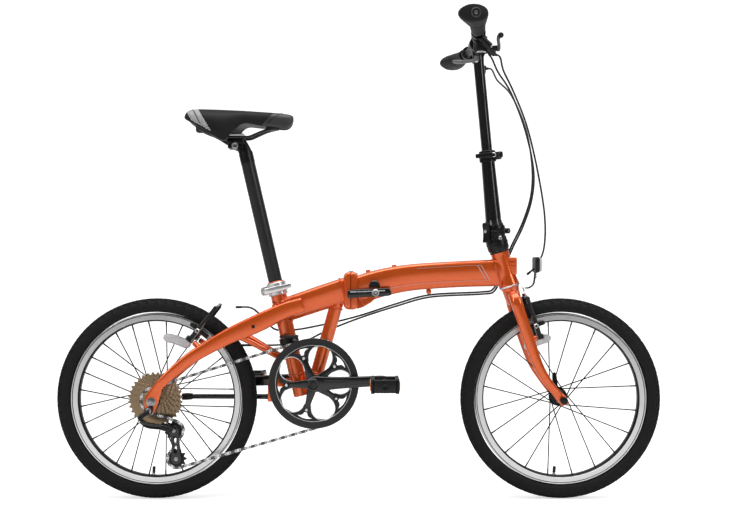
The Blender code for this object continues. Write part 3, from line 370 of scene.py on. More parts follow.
class Piece:
    """One visual object under construction, gathered from closed shells."""

    def __init__(self, name: str, *finishes: "bpy.types.Material") -> None:
        """Start an empty piece with its finishes in order."""
        self.name = name
        self.finishes = finishes
        self.shells: list[Shell] = []

    def add(self, *shells: Shell) -> "Piece":
        """Add shells and return the piece, so that calls can chain."""
        self.shells.extend(shells)
        return self

    def make(self, body: Optional[str] = None, *nodes: str, slot: str = "", angle: float = 38.0) -> bpy.types.Object:
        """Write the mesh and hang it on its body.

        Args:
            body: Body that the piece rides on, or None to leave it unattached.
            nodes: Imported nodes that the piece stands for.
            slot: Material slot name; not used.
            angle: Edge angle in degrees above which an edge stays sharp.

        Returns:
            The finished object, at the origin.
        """
        mesh = bpy.data.meshes.new(self.name)
        points, faces, numbers, start = [], [], [], 0
        for shell in self.shells:
            points.append(shell.points)
            faces += [tuple(k + start for k in face) for face in shell.faces]
            numbers += [shell.finish] * len(shell.faces)
            start += len(shell.points)
        mesh.from_pydata(np.vstack(points).tolist(), [], faces)
        for finish in self.finishes:
            mesh.materials.append(finish)
        mesh.polygons.foreach_set("material_index", numbers)
        mesh.shade_smooth()
        mesh.set_sharp_from_angle(angle=math.radians(angle))
        thing = bpy.data.objects.new(self.name, mesh)
        bpy.context.scene.collection.objects.link(thing)
        if body:
            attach(thing, body)
        if nodes:
            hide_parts(*nodes)
        LOG.info("%s: %d points on %s", self.name, len(mesh.vertices), body)
        return thing


def seat_at(along: float, side: float = 0.0, ahead: float = 0.0) -> np.ndarray:
    """Return a point at a distance up the seat tube line."""
    return SEAT_FOOT + SEAT_DIR * along + Y * side + np.cross(Y, SEAT_DIR) * ahead


def steer_at(along: float, side: float = 0.0, ahead: float = 0.0) -> np.ndarray:
    """Return a point at a distance up the steering line."""
    return STEER_FOOT + STEER_DIR * along + Y * side + np.cross(Y, STEER_DIR) * ahead


def post_at(along: float, side: float = 0.0, ahead: float = 0.0) -> np.ndarray:
    """Return a point at a distance up the handlepost line."""
    return POST_FOOT + POST_DIR * along + Y * side + np.cross(Y, POST_DIR) * ahead


def bar_at(along: float, drop: float = 0.0, ahead: float = 0.0) -> np.ndarray:
    """Return a point on the swept-back handlebar; along is signed, left positive."""
    reach = max(abs(along) - 0.040, 0.0) / (BAR_HALF - 0.040)
    return BAR_CENTRE + np.array([-0.030 * reach + ahead, along, 0.010 * reach - drop])


def pitch_radius(teeth: int) -> float:
    """Return the radius of a sprocket's chain line."""
    return CHAIN_PITCH / (2 * math.sin(math.pi / teeth))


# ---------------------------------------------------------------------------
# Finishes
# ---------------------------------------------------------------------------


class Pattern:
    """Builds one shader node group out of maths and texture nodes, with short calls."""

    def __init__(self, name: str, inputs: dict, outputs: dict) -> None:
        """Create the group and its sockets.

        Args:
            name: Name of the group.
            inputs: Socket name to default value; a 4-long value makes a colour, a 3-long one a vector.
            outputs: Socket name to socket type.
        """
        self.tree = bpy.data.node_groups.new(name, "ShaderNodeTree")
        for label, value in inputs.items():
            kind = "NodeSocketFloat"
            if isinstance(value, tuple):
                kind = "NodeSocketColor" if len(value) == 4 else "NodeSocketVector"
            made = self.tree.interface.new_socket(label, in_out="INPUT", socket_type=kind)
            made.default_value = value
        for label, kind in outputs.items():
            self.tree.interface.new_socket(label, in_out="OUTPUT", socket_type=kind)
        self.start = self.tree.nodes.new("NodeGroupInput")
        self.end = self.tree.nodes.new("NodeGroupOutput")

    def node(self, kind: str, links: Optional[dict] = None, **settings: object) -> "bpy.types.Node":
        """Add a node, set its properties and wire or fill its inputs."""
        return add_node(self.tree, kind, links, **settings)

    def give(self, label: str, socket: "bpy.types.NodeSocket") -> None:
        """Wire a socket to one of the group's outputs."""
        self.tree.links.new(socket, self.end.inputs[label])

    def take(self, label: str) -> "bpy.types.NodeSocket":
        """Return one of the group's inputs as a socket to read."""
        return self.start.outputs[label]


def add_node(tree: "bpy.types.NodeTree", kind: str, links: Optional[dict] = None,
             **settings: object) -> "bpy.types.Node":
    """Add a node to a tree.

    Args:
        tree: Material tree or group.
        kind: Node type.
        links: Input name or number to a socket to wire or a value to set.
        settings: Node properties.

    Returns:
        The new node.
    """
    made = tree.nodes.new(kind)
    for label, value in settings.items():
        setattr(made, label, value)
    for label, value in (links or {}).items():
        if isinstance(value, bpy.types.NodeSocket):
            tree.links.new(value, made.inputs[label])
        else:
            made.inputs[label].default_value = value
    return made


def speckle_group() -> "bpy.types.NodeTree":
    """Fine metallic flake: each Voronoi cell gets its own brightness and a slight tilt of the normal."""
    p = Pattern("metal flake", {"Base": (0.5, 0.1, 0.02, 1.0), "Bright": (0.9, 0.3, 0.05, 1.0), "Scale": 2600.0,
                                "Strength": 0.35}, {"Color": "NodeSocketColor", "Height": "NodeSocketFloat"})
    place = p.node("ShaderNodeTexCoord").outputs["Object"]
    cells = p.node("ShaderNodeTexVoronoi", {"Vector": place, "Scale": p.take("Scale")})
    cloud = p.node("ShaderNodeTexNoise", {"Vector": place, "Scale": 9.0, "Detail": 3.0})
    grain = p.node("ShaderNodeSeparateColor", {"Color": cells.outputs["Color"]})
    power = p.node("ShaderNodeMath", {0: grain.outputs[0], 1: 5.0}, operation="POWER")
    soft = p.node("ShaderNodeMath", {0: cloud.outputs["Fac"], 1: 0.35}, operation="MULTIPLY")
    both = p.node("ShaderNodeMath", {0: power.outputs[0], 1: soft.outputs[0]}, operation="ADD")
    share = p.node("ShaderNodeMath", {0: both.outputs[0], 1: p.take("Strength")}, operation="MULTIPLY", use_clamp=True)
    mix = p.node("ShaderNodeMix", {0: share.outputs[0], 6: p.take("Base"), 7: p.take("Bright")}, data_type="RGBA")
    p.give("Color", mix.outputs[2])
    p.give("Height", grain.outputs[1])
    return p.tree


def grain_group() -> "bpy.types.NodeTree":
    """Moulded or sprayed surface grain: two sizes of noise mixed into a height and a soft mask."""
    p = Pattern("surface grain", {"Scale": 900.0, "Broad": 25.0},
                {"Height": "NodeSocketFloat", "Mask": "NodeSocketFloat"})
    place = p.node("ShaderNodeTexCoord").outputs["Object"]
    fine = p.node("ShaderNodeTexNoise", {"Vector": place, "Scale": p.take("Scale"), "Detail": 4.0, "Roughness": 0.6})
    broad = p.node("ShaderNodeTexNoise", {"Vector": place, "Scale": p.take("Broad"), "Detail": 5.0})
    total = p.node("ShaderNodeMath", {0: broad.outputs["Fac"], 1: 0.25, 2: fine.outputs["Fac"]},
                   operation="MULTIPLY_ADD")
    p.give("Height", total.outputs[0])
    p.give("Mask", broad.outputs["Fac"])
    return p.tree


def wear_group() -> "bpy.types.NodeTree":
    """Handling marks and dust: noise thresholds that lift roughness and lighten the colour a little."""
    p = Pattern("wear and dust", {"Color": (0.1, 0.1, 0.1, 1.0), "Dust": (0.4, 0.37, 0.33, 1.0), "Amount": 0.1,
                                  "Roughness": 0.4, "Spread": 0.12},
                {"Color": "NodeSocketColor", "Roughness": "NodeSocketFloat"})
    place = p.node("ShaderNodeTexCoord").outputs["Object"]
    broad = p.node("ShaderNodeTexNoise", {"Vector": place, "Scale": 14.0, "Detail": 7.0, "Roughness": 0.62})
    fine = p.node("ShaderNodeTexNoise", {"Vector": place, "Scale": 160.0, "Detail": 3.0})
    mask = p.node("ShaderNodeMapRange", {"Value": broad.outputs["Fac"], "From Min": 0.48, "From Max": 0.78})
    speck = p.node("ShaderNodeMath", {0: mask.outputs[0], 1: fine.outputs["Fac"]}, operation="MULTIPLY")
    share = p.node("ShaderNodeMath", {0: speck.outputs[0], 1: p.take("Amount")}, operation="MULTIPLY", use_clamp=True)
    mix = p.node("ShaderNodeMix", {0: share.outputs[0], 6: p.take("Color"), 7: p.take("Dust")}, data_type="RGBA")
    centred = p.node("ShaderNodeMath", {0: broad.outputs["Fac"], 1: 0.5}, operation="SUBTRACT")
    rough = p.node("ShaderNodeMath", {0: centred.outputs[0], 1: p.take("Spread"), 2: p.take("Roughness")},
                   operation="MULTIPLY_ADD", use_clamp=True)
    p.give("Color", mix.outputs[2])
    p.give("Roughness", rough.outputs[0])
    return p.tree


def brushed_group() -> "bpy.types.NodeTree":
    """Turned or drawn metal: noise squeezed along two axes so that it reads as fine parallel lines."""
    p = Pattern("drawn metal", {"Stretch": (40.0, 900.0, 40.0)},
                {"Height": "NodeSocketFloat", "Mask": "NodeSocketFloat"})
    place = p.node("ShaderNodeTexCoord").outputs["Object"]
    squeezed = p.node("ShaderNodeVectorMath", {0: place, 1: p.take("Stretch")}, operation="MULTIPLY")
    lines = p.node("ShaderNodeTexNoise", {"Vector": squeezed.outputs[0], "Scale": 1.0, "Detail": 3.0})
    p.give("Height", lines.outputs["Fac"])
    p.give("Mask", lines.outputs["Fac"])
    return p.tree


def lattice_group() -> "bpy.types.NodeTree":
    """Woven diamond pattern: the product of two slanted sine waves, sharpened into small lozenges."""
    p = Pattern("diamond weave", {"Scale": 300.0, "Dark": (0.06, 0.06, 0.065, 1.0), "Light": (0.45, 0.45, 0.46, 1.0)},
                {"Color": "NodeSocketColor", "Height": "NodeSocketFloat"})
    place = p.node("ShaderNodeSeparateXYZ", {"Vector": p.node("ShaderNodeTexCoord").outputs["Object"]})
    waves = []
    for operation in ("ADD", "SUBTRACT"):
        tilt = p.node("ShaderNodeMath", {0: place.outputs[0], 1: place.outputs[2]}, operation=operation)
        more = p.node("ShaderNodeMath", {0: tilt.outputs[0], 1: place.outputs[1]}, operation=operation)
        scaled = p.node("ShaderNodeMath", {0: more.outputs[0], 1: p.take("Scale")}, operation="MULTIPLY")
        turned = p.node("ShaderNodeMath", {0: scaled.outputs[0], 1: 6.2832}, operation="MULTIPLY")
        waves.append(p.node("ShaderNodeMath", {0: turned.outputs[0]}, operation="SINE").outputs[0])
    both = p.node("ShaderNodeMath", {0: waves[0], 1: waves[1]}, operation="MULTIPLY")
    sharp = p.node("ShaderNodeMapRange", {"Value": both.outputs[0], "From Min": -0.15, "From Max": 0.35})
    mix = p.node("ShaderNodeMix", {0: sharp.outputs[0], 6: p.take("Dark"), 7: p.take("Light")}, data_type="RGBA")
    p.give("Color", mix.outputs[2])
    p.give("Height", sharp.outputs[0])
    return p.tree


GROUPS: dict[str, "bpy.types.NodeTree"] = {}


def group(name: str) -> "bpy.types.NodeTree":
    """Return a shared node group, built on its first use."""
    builders = {"flake": speckle_group, "grain": grain_group, "wear": wear_group, "brushed": brushed_group,
                "lattice": lattice_group}
    if name not in GROUPS:
        GROUPS[name] = builders[name]()
    return GROUPS[name]


@dataclass(frozen=True)
class Finish:
    """One finish of the bicycle: colour, gloss and the grain that bumps it.

    Attributes:
        name: Name of the material.
        colour: Base colour, linear.
        roughness: Middle roughness.
        metallic: 1 for bare metal.
        coat: Weight of a clear coat.
        grain: Frequency of the fine grain, per metre.
        bump: Depth of the grain in metres.
        dust: Share of dust in its patches.
        lines: Stretch of drawn lines instead of grain, or None.
        flake: Brighter flake colour, or None.
        weave: Light colour of a diamond weave, or None.
        weave_scale: Diamonds per metre.
        gloss: Strength of the mirror reflection, 0.5 for a usual plastic.
    """

    name: str
    colour: tuple
    roughness: float = 0.45
    metallic: float = 0.0
    coat: float = 0.0
    grain: float = 900.0
    bump: float = 0.00008
    dust: float = 0.12
    lines: Optional[tuple] = None
    flake: Optional[tuple] = None
    weave: Optional[tuple] = None
    weave_scale: float = 170.0
    gloss: float = 0.5

    def material(self) -> "bpy.types.Material":
        """Build the material, or return it if it has been built.

        Returns:
            The shared material of this finish.
        """
        found = bpy.data.materials.get(self.name)
        if found:
            return found
        made = bpy.data.materials.new(self.name)
        made.use_nodes = True
        tree = made.node_tree
        shader = tree.nodes["Principled BSDF"]
        shader.inputs["Metallic"].default_value = self.metallic
        shader.inputs["Coat Weight"].default_value = self.coat
        shader.inputs["Specular IOR Level"].default_value = self.gloss
        shader.inputs["Coat Roughness"].default_value = 0.06
        colour = None
        height = None
        if self.flake:
            flake = add_node(tree, "ShaderNodeGroup", {}, node_tree=group("flake"))
            flake.inputs["Base"].default_value = self.colour
            flake.inputs["Bright"].default_value = self.flake
            colour, height = flake.outputs["Color"], flake.outputs["Height"]
        elif self.weave:
            weave = add_node(tree, "ShaderNodeGroup", {}, node_tree=group("lattice"))
            weave.inputs["Dark"].default_value = self.colour
            weave.inputs["Light"].default_value = self.weave
            weave.inputs["Scale"].default_value = self.weave_scale
            colour, height = weave.outputs["Color"], weave.outputs["Height"]
        if height is None:
            kind = "brushed" if self.lines else "grain"
            grain = add_node(tree, "ShaderNodeGroup", {}, node_tree=group(kind))
            if self.lines:
                grain.inputs["Stretch"].default_value = self.lines
            else:
                grain.inputs["Scale"].default_value = self.grain
            height = grain.outputs["Height"]
        wear = add_node(tree, "ShaderNodeGroup", {}, node_tree=group("wear"))
        wear.inputs["Amount"].default_value = self.dust
        wear.inputs["Roughness"].default_value = self.roughness
        if colour is None:
            wear.inputs["Color"].default_value = self.colour
        else:
            tree.links.new(colour, wear.inputs["Color"])
        tree.links.new(wear.outputs["Color"], shader.inputs["Base Color"])
        tree.links.new(wear.outputs["Roughness"], shader.inputs["Roughness"])
        bump = add_node(tree, "ShaderNodeBump", {"Height": height, "Distance": self.bump, "Strength": 0.6})
        tree.links.new(bump.outputs["Normal"], shader.inputs["Normal"])
        return made


def grey(level: float, blue: float = 0.0) -> tuple:
    """Return a neutral linear colour with a little blue in it."""
    return (level, level, level * (1 + blue), 1.0)


PAINT = Finish("burnt orange paint", (0.84, 0.102, 0.0065, 1), 0.22, 0.50, 1.0, bump=0.000006, dust=0.0,
               flake=(1.0, 0.28, 0.04, 1))
WELD = Finish("painted weld", (0.72, 0.088, 0.0058, 1), 0.26, 0.45, 0.9, grain=420, bump=0.0003, dust=0.02)
BLACK = Finish("black anodised alloy", grey(0.010, 0.05), 0.30, 0.45, 0.0, grain=1600, bump=0.00004, dust=0.05)
GLOSS = Finish("gloss black paint", grey(0.006, 0.1), 0.20, 0.0, 0.35, grain=300, bump=0.00001, dust=0.02)
SATIN = Finish("dark grey anodised alloy", grey(0.034, 0.03), 0.36, 0.6, 0.0, dust=0.03, lines=(60, 60, 900),
               bump=0.00002)
SILVER = Finish("bright machined alloy", grey(0.86), 0.30, 1.0, 0.0, dust=0.02, lines=(60, 1400, 60), bump=0.00002)
STEEL = Finish("plain steel", grey(0.42), 0.28, 1.0, 0.0, dust=0.05, lines=(900, 60, 60), bump=0.00002)
TYRE = Finish("tyre rubber", grey(0.011), 0.66, 0.0, 0.0, grain=1100, bump=0.00012, dust=0.015, gloss=0.18)
SPOKE = Finish("black drawn wire", grey(0.0035), 0.50, 0.0, 0.0, grain=900, bump=0.00001, dust=0.0, gloss=0.15)
TREAD = Finish("tread rubber", grey(0.012), 0.72, 0.0, 0.0, grain=700, bump=0.0002, dust=0.02, gloss=0.15)
REFLEX = Finish("sidewall reflex line", grey(0.50, 0.03), 0.38, 0.3, 0.0, grain=2600, bump=0.00006, dust=0.10)
GRIP = Finish("grip rubber", grey(0.010), 0.50, 0.0, 0.0, grain=1500, bump=0.00014, dust=0.01, gloss=0.3)
COVER = Finish("saddle cover", grey(0.010), 0.52, 0.0, 0.0, grain=850, bump=0.0002, dust=0.01, gloss=0.2)
PANEL = Finish("saddle corner panel", grey(0.16), 0.50, 0.0, 0.0, weave=grey(0.62), weave_scale=170, bump=0.0002,
               dust=0.05)
NOSE = Finish("saddle nose cap", grey(0.032, 0.03), 0.42, 0.0, 0.1, grain=1800, bump=0.0001, dust=0.04)
PLASTIC = Finish("black moulded plastic", grey(0.010), 0.40, 0.0, 0.0, grain=1300, bump=0.0001, dust=0.015, gloss=0.35)
MID_GREY = Finish("grey moulded plastic", grey(0.17), 0.44, 0.0, 0.0, grain=1300, bump=0.0001, dust=0.05)
WHITE = Finish("pale printed line", grey(0.62), 0.40, 0.0, 0.0, grain=1300, bump=0.00005, dust=0.05)
BRONZE = Finish("champagne sprocket steel", (0.34, 0.24, 0.15, 1), 0.30, 1.0, 0.0, dust=0.06, lines=(500, 60, 500),
                bump=0.00003)
LINKS = Finish("dark chain steel", grey(0.13, 0.04), 0.36, 1.0, 0.0, grain=1500, bump=0.00005, dust=0.10)
HOUSING = Finish("cable housing", grey(0.008), 0.36, 0.0, 0.0, grain=700, bump=0.00004, dust=0.04)
PAD = Finish("brake pad rubber", grey(0.020), 0.75, 0.0, 0.0, grain=900, bump=0.0002, dust=0.20)
AMBER = Finish("amber reflector", (0.85, 0.17, 0.01, 1), 0.16, 0.0, 0.5, weave=(1.0, 0.38, 0.04, 1), weave_scale=260,
               bump=0.0004, dust=0.02)
CLEAR = Finish("clear reflector", grey(0.62, 0.04), 0.14, 0.15, 0.6, weave=grey(0.92, 0.03), weave_scale=260,
               bump=0.0004, dust=0.02)


def of(*finishes: Finish) -> tuple:
    """Return the materials of some finishes."""
    return tuple(finish.material() for finish in finishes)


# ---------------------------------------------------------------------------
# Studio
# ---------------------------------------------------------------------------


@dataclass
class Studio:
    """Camera, soft lamps and a white floor that curves up behind the bicycle."""

    eye: tuple = (0.0216, -2.5, 0.580)
    lens: float = 49.9
    floor_half: float = 9.0
    wall_y: float = 3.2
    wall_top: float = 7.0
    paper_glow: float = 0.62
    corner: float = 1.6
    floor_colour: tuple = (0.80, 0.80, 0.80, 1.0)

    def camera(self) -> None:
        """Stand the camera square to the right side."""
        data = bpy.data.cameras.new("camera")
        data.lens, data.sensor_width = self.lens, 36.0
        data.clip_end = 60.0
        made = bpy.data.objects.new("camera", data)
        made.location = self.eye
        made.rotation_euler = (math.pi / 2, 0, 0)
        bpy.context.scene.collection.objects.link(made)
        bpy.context.scene.camera = made

    def backdrop(self) -> None:
        """Sweep the floor line, a quarter turn and the wall line sideways into one sheet.

        A camera behind the sheet sees through its back, so it stands in no view's way.
        """
        turn = np.linspace(0, np.pi / 2, 24)
        bend = np.stack([self.wall_y - self.corner + self.corner * np.sin(turn),
                         self.corner - self.corner * np.cos(turn)], 1)
        line = np.vstack([[-self.floor_half, 0.0], bend, [self.wall_y, self.wall_top]])
        x = np.linspace(-self.floor_half, self.floor_half, 2)
        points = np.array([[(a, y, z) for a in x] for y, z in line]).reshape(-1, 3)
        faces = [(2 * k, 2 * k + 1, 2 * k + 3, 2 * k + 2) for k in range(len(line) - 1)]
        mesh = bpy.data.meshes.new("floor")
        mesh.from_pydata(points.tolist(), [], faces)
        mesh.shade_smooth()
        made = bpy.data.objects.new("floor", mesh)
        bpy.context.scene.collection.objects.link(made)
        material = bpy.data.materials.new("studio paper")
        material.use_nodes = True
        shader = material.node_tree.nodes["Principled BSDF"]
        shader.inputs["Base Color"].default_value = self.floor_colour
        shader.inputs["Roughness"].default_value = 0.95
        shader.inputs["Emission Color"].default_value = (1.0, 1.0, 1.0, 1.0)
        tree = material.node_tree
        seen = add_node(tree, "ShaderNodeLightPath").outputs["Is Camera Ray"]
        glow = add_node(tree, "ShaderNodeMath", {0: seen, 1: self.paper_glow}, operation="MULTIPLY")
        tree.links.new(glow.outputs[0], shader.inputs["Emission Strength"])
        reverse = add_node(tree, "ShaderNodeNewGeometry").outputs["Backfacing"]
        hidden = add_node(tree, "ShaderNodeMath", {0: seen, 1: reverse}, operation="MULTIPLY")
        clear = add_node(tree, "ShaderNodeBsdfTransparent")
        mix = add_node(tree, "ShaderNodeMixShader", {0: hidden.outputs[0], 1: shader.outputs[0], 2: clear.outputs[0]})
        tree.links.new(mix.outputs[0], tree.nodes["Material Output"].inputs["Surface"])
        mesh.materials.append(material)

    def lamp(self, name: str, place: Point, target: Point, size: tuple, power: float) -> None:
        """Hang one rectangular lamp that faces a target."""
        data = bpy.data.lights.new(name, "AREA")
        data.shape, data.size, data.size_y, data.energy = "RECTANGLE", size[0], size[1], power
        made = bpy.data.objects.new(name, data)
        made.location = place
        made.rotation_euler = (Vector(target) - Vector(place)).to_track_quat("-Z", "Y").to_euler()
        bpy.context.scene.collection.objects.link(made)

    def world(self, low: float = 0.10, high: float = 1.00) -> None:
        """Fill the world with white light from above and behind, and keep the camera's side dark.

        The strength rises from low to high where the height of the direction, plus half of
        how far it points back, passes from 0.25 to 0.95. The camera itself sees plain white.
        """
        made = bpy.data.worlds.new("studio air")
        made.use_nodes = True
        tree = made.node_tree
        shade = tree.nodes["Background"]
        shade.inputs["Color"].default_value = (1.0, 1.0, 1.0, 1.0)
        place = add_node(tree, "ShaderNodeSeparateXYZ", {"Vector": add_node(tree,
                                                                            "ShaderNodeTexCoord").outputs["Generated"]})
        total = add_node(tree, "ShaderNodeMath", {0: place.outputs[1], 1: 0.55, 2: place.outputs[2]},
                         operation="MULTIPLY_ADD")
        fade = add_node(tree, "ShaderNodeMapRange", {"Value": total.outputs[0], "From Min": 0.25, "From Max": 0.95,
                                                     "To Min": low,
                                                     "To Max": high})
        seen = add_node(tree, "ShaderNodeLightPath").outputs["Is Camera Ray"]
        strength = add_node(tree, "ShaderNodeMath", {0: fade.outputs[0], 1: seen}, operation="MAXIMUM")
        tree.links.new(strength.outputs[0], shade.inputs["Strength"])
        bpy.context.scene.world = made

    def build(self) -> None:
        """Set up everything that isn't the bicycle."""
        self.camera()
        self.backdrop()
        self.world()
        self.lamp("top lamp", (0.1, -0.5, 3.4), (0, 0, 0.4), (3.6, 1.8), 62)
        self.lamp("front left lamp", (-3.0, -2.6, 3.0), (0, 0, 0.4), (1.0, 2.4), 44)
        self.lamp("front right lamp", (3.2, -2.4, 2.6), (0.2, 0, 0.5), (0.9, 2.4), 36)
        bpy.context.scene.view_settings.view_transform = "Standard"


# ---------------------------------------------------------------------------
# Wheels
# ---------------------------------------------------------------------------


@dataclass
class Wheel:
    """One 20 inch wheel: tyre with blocks, rim, laced spokes, hub, valve and reflector."""

    end: str
    axle: np.ndarray
    spokes: int
    flange_left: float
    flange_right: float
    crossing: float
    valve_turn: float
    reflector_turn: float
    half_width: float = 0.0195
    rim_half: float = 0.0120
    crown: float = 0.2436
    casing_centre: float = 0.2246
    blocks: int = 66

    def spot(self, turn: np.ndarray, radius: np.ndarray, across: np.ndarray) -> np.ndarray:
        """Return points at an angle, radius and distance across; angle 0 is forward, turning up."""
        turn, radius, across = np.broadcast_arrays(turn, radius, across)
        return self.axle + np.stack([radius * np.cos(turn), across, radius * np.sin(turn)], axis=-1)

    def carcass(self) -> list:
        """Return the casing with its moulded ridge.

        The section is a circle of 19.5 mm that flattens into the bead: width sin t, height cos t.
        """
        turn = np.radians(np.linspace(-132, 132, 34))
        across = self.half_width * np.sin(turn)
        radius = self.casing_centre + (self.crown - self.casing_centre) * np.cos(turn)
        ridge = 0.0006 * np.exp(-((np.abs(np.degrees(turn)) - 104) / 4.0) ** 2)
        radius = np.maximum(radius + ridge, 0.2084)
        return [lathe(self.axle, Y, np.stack([across, radius], 1), 168, True)]

    def block(self, turn: float, low: float, high: float, span: float, slant: float) -> Shell:
        """Return one tread block: a patch of the crown lifted by 1.3 mm between two section angles.

        Its four corners lie on the casing at (turn, section angle); the outer rings draw in.
        """
        corners = [(-1, low), (1, low), (1, high), (-1, high)]
        rings = []
        for lift, shrink in ((-0.0006, 1.0), (0.0009, 0.97), (0.0014, 0.84)):
            ring = []
            for sign, section in corners:
                middle = 0.5 * (low + high)
                s = middle + (section - middle) * shrink
                t = turn + sign * span * 0.5 * shrink + slant * (s - middle)
                reach = self.crown - self.casing_centre + lift
                ring.append((t, self.casing_centre + reach * math.cos(s), (self.half_width + lift) * math.sin(s)))
            rings.append(ring)
        rows = np.array(rings)
        return grid(self.spot(rows[..., 0], rows[..., 1], rows[..., 2]))

    def tread(self) -> list:
        """Return the rows of blocks: two centre rows of chevrons and two rows of side bars."""
        shells = []
        step = 2 * math.pi / self.blocks
        for number in range(self.blocks):
            turn = number * step
            for sign in (-1, 1):
                low, high = sorted((sign * math.radians(2.5), sign * math.radians(22)))
                shells.append(self.block(turn + (0.5 * step if sign > 0 else 0), low, high, step * 0.80, sign * 0.05))
                low, high = sorted((sign * math.radians(26), sign * math.radians(43)))
                shells.append(self.block(turn + (0.2 * step if sign > 0 else 0.7 * step), low, high, step * 0.62,
                                         sign * 0.06))
                low, high = sorted((sign * math.radians(47), sign * math.radians(62)))
                shells.append(self.block(turn + 0.45 * step, low, high, step * 0.34, 0.0))
        return shells

    def rim(self) -> list:
        """Return the rim: machined side walls, a black groove, a bright outer lip and a black inner well."""
        w = self.rim_half
        shells = [lathe(self.axle, Y, [(-w, 0.2044), (-w - 0.0001, 0.1924), (w + 0.0001, 0.1924), (w, 0.2044)], 160,
                        True,
                        0, 0.0003),
                  lathe(self.axle, Y, [(-w + 0.0002, 0.1928), (-w + 0.0014, 0.1906), (-0.0060, 0.1886),
                                       (0.0060, 0.1886),
                                       (w - 0.0014, 0.1906), (w - 0.0002, 0.1928)], 160, True, 1)]
        for sign in (-1, 1):
            shells.append(hoop(self.axle, Y * sign, (w - 0.0022, w - 0.0002), (0.2078, 0.2038), 160, 1, 0.0002))
            shells.append(lathe(self.axle, Y * sign, [(w - 0.0020, 0.2092), (w - 0.0020, 0.2058), (w + 0.0007, 0.2062),
                                                      (w + 0.0007, 0.2084)], 160, True, 0, 0.0002))
        return shells

    def lacing(self) -> list:
        """Return spokes with bent heads, thinner middles, and hexagonal nipples."""
        shells = []
        per_side = self.spokes // 2
        butted = np.array([0.0015, 0.0014, 0.0014, 0.0015])
        for number in range(self.spokes):
            rim_turn = 2 * math.pi * (number + 0.5) / self.spokes
            left = number % 2 == 0
            ahead = 1 if (number // 2) % 2 == 0 else -1
            hub_turn = rim_turn + ahead * self.crossing * 2 * math.pi / per_side
            flange = self.flange_left if left else -self.flange_right
            face = 0.0017 * ahead
            root = self.spot(hub_turn, 0.0195, flange + face)
            seat = self.spot(rim_turn, 0.1900, 0.0030 * (1 if left else -1))
            along = unit(seat - root)
            shells.append(loft(np.linspace(root, seat - along * 0.006, 4), butted, butted, Y, 8))
            shells.append(bar(seat - along * 0.0130, seat, 0.0019, 6, 0, 0))
            head = self.spot(hub_turn, 0.0192, flange - face * 1.1)
            shells.append(bar(head, root + Y * (face * 0.2), 0.0012, 6, 0, 0))
        return shells

    def hub(self) -> list:
        """Return the hub shell with two drilled-looking flanges and end caps."""
        left, right = self.flange_left, self.flange_right
        out_left = 0.0365 if self.end == "front" else 0.062
        out_right = 0.0365 if self.end == "front" else 0.0202
        profile = [(-out_right, 0.0054), (-out_right, 0.0115), (-right - 0.0030, 0.0135), (-right - 0.0017, 0.0230),
                   (-right + 0.0015, 0.0230), (-right + 0.0040, 0.0140), (0.0, 0.0120), (left - 0.0040, 0.0140),
                   (left - 0.0015, 0.0230), (left + 0.0017, 0.0230), (left + 0.0030, 0.0135), (out_left, 0.0115),
                   (out_left, 0.0054)]
        shell = lathe(self.axle, Y, profile, 48, True, 0, 0.0005)
        label = hoop(self.axle, Y, (-0.004, 0.004), (0.01215, 0.01300), 40, 1, 0.0003)
        return [shell, label]

    def valve(self) -> list:
        """Return the valve stem with its ring nut and black cap."""
        foot, nut, neck, tip = (self.spot(self.valve_turn, radius, 0.0) for radius in (0.1900, 0.1856, 0.1800, 0.1680))
        return [bar(foot, neck, 0.0030, 14), bar(foot, nut, 0.0052, 6),
                bar(nut + (neck - nut) * 0.4, tip, 0.0039, 16, 1)]

    def reflector(self) -> list:
        """Return the arc-shaped spoke reflector and its clips."""
        turn = self.reflector_turn + np.linspace(-0.235, 0.235, 15)
        ease = np.sqrt(np.clip(1 - (np.linspace(-1, 1, 15)) ** 6, 0.08, 1))
        path = self.spot(turn, 0.1500, 0.0)
        out = unit(self.spot(self.reflector_turn, 0.3, 0.0) - self.axle)
        lens = loft(path, 0.0045 * ease, 0.0095 * ease, out, 16, 5.0)
        rim = loft(path, 0.0030 * ease, 0.0112 * ease, out, 16, 5.0, 1)
        clips = [bar(self.spot(self.reflector_turn + d, 0.1500, -0.0058),
                     self.spot(self.reflector_turn + d, 0.1500, 0.0058),
                     0.0036, 12, 1) for d in (-0.12, 0.12)]
        return [lens, rim, *clips]

    def build(self) -> None:
        """Make every piece of the wheel."""
        body = f"{self.end}_wheel"
        Piece(f"{self.end}_tyre_casing", *of(TYRE)).add(*self.carcass()).make(body, f"{self.end}_tyre", slot="tyre")
        Piece(f"{self.end}_tyre_tread", *of(TREAD)).add(*self.tread()).make(body, slot="tyre")
        Piece(f"{self.end}_wheel_rim", *of(SILVER, BLACK)).add(*self.rim()).make(body, f"{self.end}_rim",
                                                                                slot="silver_alloy")
        Piece(f"{self.end}_spokes", *of(SPOKE, SILVER)).add(*self.lacing()).make(body, slot="black_alloy")
        Piece(f"{self.end}_hub_shell", *of(BLACK, SATIN)).add(*self.hub()).make(body, f"{self.end}_hub",
                                                                                slot="black_alloy")
        Piece(f"{self.end}_valve", *of(STEEL, PLASTIC)).add(*self.valve()).make(body, slot="steel")
        Piece(f"{self.end}_spoke_reflector", *of(CLEAR, WHITE)).add(*self.reflector()).make(body, slot="grey_plastic")


# ---------------------------------------------------------------------------
# Frame
# ---------------------------------------------------------------------------


def beam_outline(count: int = 40) -> np.ndarray:
    """Return the beam's section: flat sides, a crease a third of the way up, bevelled foot.

    The half width is cos t to a small power; below the crease it draws in by a quarter.
    """
    flat = superellipse(count, 4.2)
    low = np.clip((-0.18 - flat[:, 1]) / 0.82, 0, 1)
    flat[:, 0] *= 1 - 0.30 * low
    return flat


